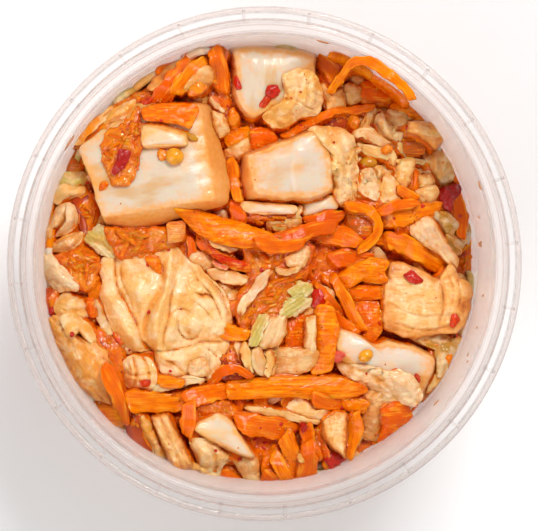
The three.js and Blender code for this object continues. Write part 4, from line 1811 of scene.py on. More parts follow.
def under_everything() -> list[Piece]:
    """Juice, pulp and low shreds that show between the larger pieces. The dark juice pools are partly brine
    and partly painted shade.

    Returns:
        The pieces, in the order in which they are laid.
    """
    return [
        pulp(
            "-45.2,26 -41,32 -35.8,36.6 -28.8,40.4 -19.6,45.8 -9,51.2 -8,46.8 -16.8,40.8 -26.6,36.2 "
            "-35.8,31",
            thick=5,
        ),
        pulp("-5.8,6.4 8.4,7.4 12,3.2 8.4,-6.2 6,-12.8 -0.6,-12.8 -5.8,-17.4 -6.6,-8.4 -4.4,-2.6", thick=3),
        pulp("-38.4,8.8 -31.8,8.4 -23.2,8.4 -18.2,9.8 -19.6,4.4 -26.6,2.2 -34.2,0.8", thick=3),
        pulp("-50,1.8 -42.6,4.8 -38.4,0.4 -40.6,-7.6 -45.4,-4.8", thick=3),
        pulp("-16.2,-31.8 -7.6,-31.8 -5.8,-36.6 -13.8,-36.2 -17,-41.2 -20.2,-39", thick=3),
        # Dark brine pools in the gaps: partly painted shade.
        juice_and_shade("-40.4,-14.4 -36.6,-16 -32.8,-20.6 -32.4,-25.8 -35.6,-26.8 -38.4,-23 -40.4,-19", thick=2.4),
        juice_and_shade("-33,-31 -29.6,-32 -26.4,-41.4 -23.2,-48.4 -26.8,-47.6 -31,-42.8 -33.4,-36.8", thick=3),
        juice_and_shade("-9,-17.4 -4.8,-17.4 -4.4,-26.8 -10.4,-27.8 -10.8,-23", thick=2),
        juice_and_shade("-14.2,41.6 -8.6,42 -4.4,32.6 -7.6,30.8 -11.8,34", thick=2),
        juice_and_shade("-45.4,15.4 -39,17.8 -39,9.8 -41.2,6 -44,8.8", thick=2.4),
        juice_and_shade("12.6,35.6 21,36.6 21.6,30.4 14,30", thick=2),
        juice_and_shade("-6.6,12.2 8.4,12.2 8.4,9.4 -5.8,9.4", thick=2),
        carrot("15.4,26.8 19,22 20.6,17.4", 4.4, tone=Tone.RUST),
        carrot("20.6,17.4 25.2,16 30,13.6", 5, tone=Tone.RUST),
        carrot("31,8.8 36.6,6.6 41.2,4.2", 4),
        carrot("39.6,16 42.8,13.6 44.2,8.8", 3.4, tone=Tone.RUST),
        carrot("15.4,0.4 19,1.4 25.2,0.4", 4.6, tone=Tone.RUST),
        carrot("23.8,0.4 26.2,-3.8 27.6,-8.4", 4),
        carrot("-17.4,-38.6 -14.2,-41.4 -10.4,-44.2", 4, tone=Tone.RUST),
        carrot("-0.6,-46.6 3.6,-49.8 7.4,-53.2", 4.4),
        carrot("-6.6,15.8 -6.2,11.6 -6.6,8.4", 3.4, tone=Tone.RUST),
        carrot("-16,6.4 -11.8,4.2 -7.6,0.4", 4, tone=Tone.RUST),
        carrot("-51.6,-8.4 -49.6,-13.6 -46.4,-20.2", 3.4, tone=Tone.RUST),
        strip("-6.6,-17.8 -4.8,-21.6 -3.4,-25.8", 2.4, 1.8),
    ]


def upper_left() -> list[Piece]:
    """Shreds between the wall and the largest slab.

    Returns:
        The pieces, in the order in which they are laid.
    """
    return [
        strip("-43.6,27.2 -40.4,31 -37.2,34 -34.8,36", 1.6, 1.4, Tone.AMBER),
        leaf("-37.2,32.4 -35,35.2 -32.8,37 -29.8,38 -30,35.8 -32.2,34 -35.4,32.6", Tone.HONEY, ribs=0.2),
        strip("-26.6,40 -23,43 -19.6,45.2 -15,47.8", 3, 1.6, Tone.HONEY),
        carrot("-25.2,36.6 -21.4,40.8 -16.8,45.6 -11.6,49.8", 5.8, 2.4, tone=Tone.RUST),
        carrot("-11.8,50 -10.6,45.4 -9.8,39.8", 3.8, 2.2),
        carrot("-20.4,38.8 -17.2,43 -13.6,46.8", 3.6, tone=Tone.AMBER),
        soaked(
            "-18.8,39.8 -17.2,42 -13.8,45.2 -12.4,44.4 -11.8,42.4 -13,40.6 -15.4,39", Tone.BLUSH, 1.8,
            corner=1.5,
        ),
        strip("-12.8,38.8 -11.4,37 -9.2,35.2", 1, 1.2),
        bead((-15.4, 39.8), (4.6, 2.6, 2), 25, BITS),
        bead((-7.2, 34), (2.6, 4.2, 2.4), 0, BITS),
        soaked("-12.2,35.6 -9.8,34.6 -8,31 -10.6,29.4 -11.8,32.2"),
        slab("-9.8,28.8 -8.4,31 -3.4,32.4 -3.2,28.8 -5.6,27.4 -8.4,26.6"),
        soaked("-9.8,26.2 -4,29.2 -3.4,26.4 -6.2,24.6 -9,23.8"),
        carrot("-8.2,24.6 -7.2,19.4 -6.2,14.4", 2.6, tone=Tone.AMBER),
        slab("-4,31 -1.4,32 1.8,31.6 3.2,28.8 -0.6,26.4 -3.8,26.6", Tone.RUST, rag=0.3),
        flake("-29.2,37.2 -27.4,38.4 -25.2,38.6 -25.8,37.2 -27.4,36 -28.6,35.6", Tone.VERMILION),
    ]


def upper_right() -> list[Piece]:
    """Pieces under and beside the arching carrot.

    Returns:
        The pieces, in the order in which they are laid.
    """
    return [
        slab("12,48.8 18.6,46.8 17.6,43.4 15.2,40.2 13.4,38.8 12,40.8", Tone.RUST, 2.2, rag=0.3),
        carrot("12.4,48.2 15.2,45.8 17,41.8", 3.4),
        strip("13.2,41.8 14.4,38.6 16.6,35.2", 2.4, 1.8, Tone.BLUSH),
        soaked("14,40 18,40.8 19,37.2 15.2,35.8"),
        soaked("19.6,45 21.8,45.8 23.8,44.6 23.6,42.2 21.2,41.2 19.8,42.6", Tone.CREAM, 2.4, corner=1.6),
        soaked("18.4,41.8 20.8,42.2 23.2,40.8 22.6,38.2 19.8,37.6 18.2,39.2", Tone.CREAM, 2.4, corner=1.6),
        slab(
            "22.2,42.6 24.8,43.4 27.8,43.2 29.8,42 32,39.8 33.6,38.6 29.8,37.8 27,37.4 23.8,37.6 21.8,39.8",
            Tone.RUST, 2.4, wrinkle=0.4,
        ),
        strip("28,43 29.6,43 31.2,41.6 32.8,39.6", 0.9, 1.2),
        bed("19.6,36 24,37 30,36.8 34.6,33.6 35,30 30,28.4 25,28.6 20.4,29.6", Tone.BUTTER, seed=901),
        bed(
            "20.6,29.6 27,29.4 34,28.2 38,25.6 40,22 40.6,16 36,14.4 29,13.4 22,14.6 21.4,20 20,25",
            Tone.CREAM, seed=902,
        ),
        soaked(
            "33.2,34.2 43.2,34.2 44.2,31.4 43.2,28.6 40.8,26.4 38.8,27.8 36.4,29.6 33,30.4", Tone.BUTTER,
            10, node="stem_upper_right", rounding=1.2,
            top="33.8,33.2 42,33.2 43,31 41.8,28.6 40.2,27 38.8,28.2 36.2,29.8 33.6,30.8", settle=0.4,
        ),
        soaked("32.2,36.2 35.8,34 33.2,33.2", Tone.CREAM, 1.8),
        leaf(
            "24.6,36.8 26.4,36.6 26.2,34.4 24.8,32.6 26,30 24.4,28.4 21.4,29 21.2,31 22.6,32.4 23.6,34.2 "
            "24,35.8",
            Tone.BUTTER, crumple=0.8, thick=1.6,
        ),
        soaked("27.6,35 29.6,36 32.2,35.8 33.4,33.6 33,31.6 30.8,31.4 29.4,32.4 28,33.2"),
        leaf(
            "26,34.6 27.8,35.8 28.6,33.4 30,32.6 31.6,31.4 33.8,31 33,29.2 31.8,27.8 30.4,27.2 28.4,27.6 "
            "26.4,28.6 25.8,30.2 26,32.4",
            crumple=1.2, thick=1.8, crown=1.4, folds=(Fold("27.4,34.4 28.4,31.6 30.4,29.2", 0.9, 0.9),),
        ),
        bead((21.2, 33.4), (2.6, 3.6, 2.4), 10, BITS),
        strip("20,29.6 23.6,30.6 28.2,28.2 31.8,25.2", 2.4, 2),
        strip("21.4,27.6 25.8,26.4 29.8,25.2 30.2,22.8", 2.2, 2, Tone.CREAM),
        strip("17.2,28.4 20,26.6 22.8,26.6", 2, 1.8, Tone.BLUSH),
        bead((29, 27), (2.2, 1.8, 1.6), 0, BITS),
        strip("31.2,27.8 33.6,26.6 35.4,24.8", 2.8, 1.8, Tone.CREAM),
        strip("30.8,24 34.6,24.4 38.6,24", 1.4, 1.4, Tone.CREAM),
        slab("31.8,30 37.8,30 38,25.8 32.8,25.8", Tone.BROWN, 1.6),
        carrot("4,29.6 9,32.2 12.8,34.2 16.8,35.8 20.2,36 26,36.8", 2, 1.5, node="carrot_long_top"),
        slab(
            "29.6,38 35.6,39 38.2,37 40.6,35.2 42.8,33.6 42,32.8 39,32.8 36.2,33 34.6,34 32.2,35.8 "
            "29.6,36.2",
            Tone.AMBER, 2.6, node="carrot_upper_right", wrinkle=0.3, rag=0.25,
        ),
        flake("33,32.4 34,32.4 34,31.4 33,31.4"),
    ]


def right() -> list[Piece]:
    """Pieces at the right wall.

    Returns:
        The pieces, in the order in which they are laid.
    """
    return [
        carrot("42.4,27.8 44.2,25 45.6,21.6 46.2,18.8", 2.6, 1.8, tone=Tone.RUST),
        carrot("45.6,16 46.8,11.8 46.8,6", 3, 1.8, tone=Tone.RUST),
        slab("35,22.6 36.8,21.8 36.6,18.6 37,17.2 34.2,16.8 34.6,20.2", Tone.CARROT),
        soaked(
            "31.8,24 35.6,24.6 35,21.8 33.8,18.6 33.2,17 32,18 30.6,20", Tone.BUTTER, 2.6, corner=1.2,
            crumple=0.5,
        ),
        soaked("36.6,20.8 39.2,21.4 40,19.4 39,17.8 36.8,17.8", Tone.CREAM, 2.2),
        leaf(
            "37,26 40,27 42.2,27 44,25.2 45.4,22.6 45.2,20 43.4,18 41.6,18 40.2,19.6 39.2,21.2 38.4,22.6",
            Tone.BUTTER, node="leaf_fan_right", thick=1.6, crown=1.2, crumple=0.6,
            folds=(
                Fold("40.2,20.8 40.6,23.6 40.2,26.4", 0.8, 0.5),
                Fold("40.6,20.2 42.6,23.2 42.6,26.4", 0.8, 0.5),
                Fold("41,19.8 43.4,21.8 44.6,24", 0.8, 0.5), Fold("41.6,19.2 43.6,19.8 45.2,21", 0.7, 0.5),
            ),
            stains="40.4,25.2,1.4,0.6",
        ),
        soaked("35.8,17.4 40.4,18.6 41.2,16.6 40,14.8 36.6,14.6 35,16", Tone.CREAM, 2.4, corner=1.2),
        flake(
            "40.6,17.6 42.8,18.4 44.8,18.8 46.4,19 46.8,18 46.8,16.4 45,15.2 44.4,12 42.2,13.6 41.2,15.8",
            Tone.CRIMSON, thick=1.4, wrinkle=0.7, corner=0.6,
        ),
        leaf(
            "22,21.4 24.8,22.2 27.4,21.4 27,16.8 26.4,15 23.8,15.8 22,17.2", Tone.PINK, crumple=1,
            thick=1.8, crown=1.2,
        ),
        leaf(
            "22.4,21.8 24.4,22.4 25.8,21.2 25.4,19.4 23.2,19", Tone.PINK, crumple=1.1, crumple_size=1.8,
            thick=1.2, crown=1.2, cell=0.3,
        ),
        leaf(
            "25.8,22.8 27.6,23.2 28.2,21.2 27.4,19.6 26.2,20", crumple=1.1, crumple_size=1.8, thick=1.2,
            crown=1.2, cell=0.3,
        ),
        leaf("28,20.6 30.2,20.8 31.4,18 32,15 29.6,13.6 28,14.6 27,16.6", crumple=0.9, thick=1.6, crown=1),
        carrot("31,17.6 33.2,16.4 36,15", 2, 1.6, tone=Tone.AMBER),
        carrot("26.4,9.2 29.8,11 33.6,11.8 38.2,12.4 41.8,13", 5.4, 2.4, tone=Tone.AMBER),
        carrot("26.6,11.6 30.8,13.6 36.4,14.2", 2.4),
        leaf(
            "39.2,11.2 41,12.4 43.6,12.2 44.8,10.4 45.8,9.2 44.8,7.8 44.6,5.6 43,5.8 41.6,7.8 40.2,9.6",
            Tone.OLIVE, thick=1.8, crown=1.8, crumple=0.6, ribs=0.3, turn=80,
        ),
        strip("42.6,6.4 44.4,4.2 46.2,1.8", 2.4, 1.8, Tone.OLIVE),
        soaked(
            "34.4,8.4 38,11 39.6,10.8 41.8,6.8 44.4,3.2 46,1.2 45.4,-1 43.4,0.2 41,2.6 38,4.2 34.8,6.6",
            Tone.WHITE, 2.6, ribs=0.25, rib_pitch=1.6, turn=-50, stains="38.4,5.6,0.4,0.6 40.6,4.4,0.4,0.6",
        ),
        carrot("28.6,5.6 32.2,4.8 36.4,2.8 40.2,0.4 42.6,-1", 4.6, 2.4, tone=Tone.AMBER),
        strip("48.8,-4.8 48.2,-11 46.4,-15.8 44.6,-20", 2.4, 1.6, Tone.HONEY),
        strip("46.4,-17.2 44.4,-22.4 41.2,-27.6 37.4,-32.8", 2.4, 1.8, Tone.HONEY),
        strip("44.4,-21 41.6,-26.2 38.4,-31", 1.4, 1.6, Tone.GREEN),
    ]


def left() -> list[Piece]:
    """Pieces at the left wall and the lower left.

    Returns:
        The pieces, in the order in which they are laid.
    """
    return [
        carrot("-52.6,8.2 -51.6,12 -49.6,15.2", 3.6, tone=Tone.AMBER),
        slab("-46.6,21.8 -46,25.4 -44.2,27.8 -41.8,26.8 -42.4,22.2 -44.2,21.2", Tone.BROWN, 1.8),
        leaf(
            "-50,17.8 -48.6,19.6 -46.8,20.8 -45,21.2 -42.2,21.4 -41.2,19.4 -41.4,17 -42.6,16.4 -43.6,17.2 "
            "-44.8,17.8 -45.8,16.4 -46.8,14.8 -48.2,15 -49.4,16.4",
            Tone.GREEN, thick=1.8, crumple=0.9, crown=1.2, stains="-47.8,17,1.2,0.3",
            folds=(Fold("-48.6,17 -45.8,18.8 -42.2,19.8", 0.7, 0.8),),
        ),
        leaf("-49.2,15.6 -46.8,18.4 -44.2,17.6 -41.8,18 -42.2,16.2 -46,15.2 -48.2,13.8"),
        leaf(
            "-52.4,2.8 -49.6,2.2 -47.2,-0.6 -45,-2.8 -42.8,-5.2 -43.6,-6.6 -46.2,-5.8 -48,-6.4 -49.4,-5.6 "
            "-50.6,-3.8 -51.8,-0.6",
            Tone.PINK, thick=1.8, crown=1, crumple=0.6,
        ),
        leaf(
            "-52,8.6 -50.6,10.8 -49,12.6 -47.6,13.8 -45.6,14.4 -45.4,12 -46.4,9.6 -48,7.8 -49.4,6.8 "
            "-50,5.6 -49.4,4 -50.6,3 -52,3.8 -52.6,6",
            Tone.BLUSH, node=LEFT_LEAF, thick=2, crown=2, crumple=0.7,
        ),
        leaf(
            "-46.2,14.4 -44.4,13.8 -43.4,11.2 -43.6,8.6 -44.8,7.6 -47,6.4 -49.2,6.2 -47.6,8.6 -46.4,11.4",
            Tone.PINK, node=LEFT_LEAF, thick=2, crown=1.8, crumple=0.6,
        ),
        leaf(
            "-51.6,4 -49,5.2 -47,6.6 -44.8,7.4 -42.2,8 -42,6 -43.4,4 -45.2,3 -47.6,2.4 -49.8,2.6",
            Tone.BLUSH, node=LEFT_LEAF, thick=2, crown=1.6, crumple=0.7,
        ),
        shoot(
            "-42.2,5.4 -40.4,7.4 -38.4,8.8 -37,8.4 -36.6,6.6 -35.4,4.4 -34.4,3.2 -35,1.6 -36.8,1.6 "
            "-38.4,2.4 -40.4,4",
            turn=-45, folds=(Fold("-41,5.6 -38,4.6 -35.6,2.6", -0.6, 0.5),),
        ),
        slab("-22.8,9.6 -18.2,10.2 -18.6,5.4 -22.4,4.6", Tone.BLUSH, 1.8),
        # A dark brine pool in a gap: partly painted shade.
        juice_and_shade("-53.2,-5.2 -48.2,-5.6 -48.2,-11.2 -50.4,-13.2 -52.8,-9.8", thick=2),
        soaked(
            "-50.4,-12.6 -46.8,-11 -43.6,-16.2 -39.2,-18.2 -36.4,-20 -34.4,-25.8 -33.2,-30.6 -35.4,-32.8 "
            "-38.6,-32 -42.8,-29.2 -46,-23.8 -49.2,-17.6",
            Tone.HONEY, 5, node=LOWER_LEFT_SLAB, crown=1.2, rounding=1, wrinkle=0.4, ribs=0.12, turn=-50,
        ),
        leaf(
            "-48.6,-10.6 -48,-8.2 -47,-6.8 -45.6,-6 -43.4,-6.8 -41.8,-7.6 -40.8,-9 -39.8,-11.2 -39.4,-13 "
            "-41.6,-14.4 -46.2,-14",
            Tone.BUTTER, thick=1.8, crown=3, crumple=0.8,
            folds=(Fold("-47.6,-10.6 -44.8,-11.2 -41.2,-10.6", -1, 0.7),),
        ),
        leaf(
            "-47.6,-12 -45.4,-11.2 -42.6,-12 -40.2,-14.4 -38.6,-17.2 -38.8,-20 -40.8,-19 -43,-15.8 "
            "-44.4,-17.6 -46.2,-16.6",
            Tone.BUTTER, node=LOWER_LEFT_SLAB, crumple=0.8, crown=1.4,
            folds=(Fold("-43,-15.4 -41.6,-17.6 -39.8,-19.4", -1.6, 0.5),),
        ),
        strip("-39.8,-8.4 -38.8,-11.6 -37.2,-14.4 -35.4,-16.8", 2, 1.6),
        slab("-41.4,-7.4 -39.8,-8.4 -39,-12.6 -40.4,-13 -41.8,-10.2", Tone.RUST, 1.8),
        carrot("-37,-23.2 -35.2,-27.2 -33.4,-32.4 -32.8,-37.4", 3.6, 2.4, node=MOUTH_CARROT),
        slab(
            "-42.6,-33.8 -40,-32.2 -36.4,-31.8 -33.6,-33.6 -32.6,-37.8 -36,-38.2 -39.6,-37.4", Tone.AMBER,
            2.4, node=MOUTH_CARROT, rag=0.2, wrinkle=0.3,
        ),
        bead((-32.8, -37.8), (2, 1.6, 1.6), 20, SEED, Tone.MUSTARD),
        flake("-45,-15.6 -43.8,-15.6 -43.6,-16.6 -44.8,-17.2", node=LOWER_LEFT_SLAB),
    ]


def large_stems() -> list[Piece]:
    """The three large stems along the top.

    Returns:
        The pieces, in the order in which they are laid.
    """
    return [
        stem(
            "-9,50.8 -8.2,45.2 -8.2,40 -7,36.6 -5,34.2 -2.8,33.2 1.4,35.2 8.2,35.6 12,40 12.4,49.2 8.2,51 "
            "2.4,51.4 -3.4,52.2 -7.4,51.6",
            Tone.PEACH, 6.5, node=TOP_STEM,
            top=(
                "-7.2,49.4 -6.6,44.6 -6.6,40 -5.4,36.8 -4,34.8 -2.4,33.8 1.2,35.8 8,36.4 11.4,40.4 "
                "11.6,47.8 8.2,49.2 2.4,49.6 -3.4,50.2 -6,50"
            ),
            crown=1.2, rounding=0.8, corner=1.2, ribs=0.1, turn=85, wrinkle=0.25,
            stains="3,45.6,2.1,0.5 -6.6,42.4,0.7,0.5 -5.2,49.2,1.2,0.25 8.2,48.8,1.8,0.3 8.2,43.4,2.4,0.45",
        ),
        leaf(
            "-1,34 1.8,31.4 5.4,31.8 8.2,34 12.8,35 14,38.4 12.8,42.4 11,44.8 7.4,45.2 3.8,43.8 4.4,40.6 "
            "4,37.8 0.8,35.8",
            Tone.BUTTER, node=TOP_STEM, thick=1.6, crumple=1, crown=1,
            folds=(
                Fold("7.6,42.4 7.4,39 6,35.6", 0.8, 0.7), Fold("9.4,42.4 9.4,38.6 8.6,36", 0.8, 0.6),
                Fold("11.2,42 11.4,39 10.8,36.4", 0.7, 0.6),
            ),
        ),
        flake("-6.8,44 -5.8,42.6 -5,40.4 -6.6,40 -7.2,41.8", node=TOP_STEM),
        flake("0.6,41.4 3,41.4 3.8,39.8 2,38.2 0.2,39.4", node=TOP_STEM, thick=1),
        flake("0.4,39.4 1.8,38.4 0,36 -1.4,36.6", Tone.VERMILION, node=TOP_STEM, thick=0.5),
        stem(
            "-8,13.8 -7.8,18.4 -10,28 -12.5,37.4 -29.8,37.4 -43.4,27.2 -40.2,18.2 -37.2,8.8 -32.2,7 "
            "-21.2,9.8",
            Tone.PEACH, 6.5, node=SLAB,
            top=(
                "-11.6,14.6 -12,18.4 -13.4,28 -15,37.2 -29.4,37.2 -43,26.8 -39.6,18.2 -37.6,10.6 -32,11.6 "
                "-21.6,13.4"
            ),
            crown=1.1, rounding=0.6, corner=1.2, tilt=(0.04, -0.06), drape=0, ribs=0.12, rib_pitch=3.5,
            turn=10, rag=0.25, rag_size=3, wrinkle=0.3, wrinkle_size=7,
            stains=(
                "-33,23.8,3.2,0.3 -27.4,26,2.3,0.25 -13.6,15.8,2.2,0.4 -35.4,10,1.8,0.25 -14.6,26,5,0.4 "
                "-38.6,20.6,2.2,0.25"
            ),
        ),
        stem(
            "-6.2,14.8 -4.2,14.6 1.4,14.2 7.8,13.6 7.8,11.6 1.8,11.4 -3.4,11.6 -5,12.2", Tone.PINK, 2.2,
            node=MIDDLE_STEM, corner=1,
        ),
        stem(
            "8.2,14.2 12.4,15 16,16.4 17.4,14.8 17.6,12.8 13.2,11.8 9,10.8", Tone.PINK, 2.4,
            node=MIDDLE_STEM, corner=1,
        ),
        strip("9.4,10.6 13,10.4 17.2,12.6", 1.6, 1.4, Tone.CREAM, node=MIDDLE_STEM),
        stem(
            "-5.6,24.8 -5.2,26 -3.4,26.4 -0.6,27.4 2.4,28.8 6,29.8 8.2,30.6 9.6,31.4 13,31.4 15.6,28.8 "
            "16.2,24.2 16.6,16.8 10.6,13.6 2.4,14 -5,14.6 -6,19.6",
            Tone.WHITE, 6.5, node=MIDDLE_STEM,
            top=(
                "-4,24.6 -3.6,25.2 -2.4,25.4 0,26.4 2.6,27.6 5.8,28.8 8.2,29.6 9.6,30.4 12.6,30.4 14.6,28 "
                "15.4,23.8 15.8,17.2 10.2,15 2.4,15.6 -2,16 -3,19.8"
            ),
            crown=1.6, rounding=0.9, corner=1.4, ribs=0.1, rib_pitch=3, wrinkle=0.3, wrinkle_size=6,
            turn=15,
            stains="1,23,2.4,0.55 8.2,15.8,1.4,0.25 15.2,26.2,1.4,0.4 12.4,28.6,2,0.4 -2.4,21.6,2,0.3",
            folds=(Fold("7.2,29 6.4,24.6 6.6,19.6 7.6,15.2", 0, 0.4, 0.45, 4),),
        ),
        leaf(
            "9.6,31 12,32.4 15.2,32.2 18.6,31.8 21,30 22.2,26.2 21.8,23 22.2,19.4 21.6,15.2 19.8,12.6 "
            "17.6,13.8 16,17 15.2,21.2 14.6,26.2 12.4,29",
            node=MIDDLE_STEM, thick=2, crown=1.6, crumple=1.6, cell=0.35,
            stains="16.2,29,2.1,0.5 15.6,18.8,1.6,0.5 19.8,14.8,1.4,0.3",
            folds=(Fold("16.6,28.6 18,24 17.4,17", 1, 0.9), Fold("18.8,30 20.2,25 19.8,18.2", 0.8, 0.8)),
        ),
    ]


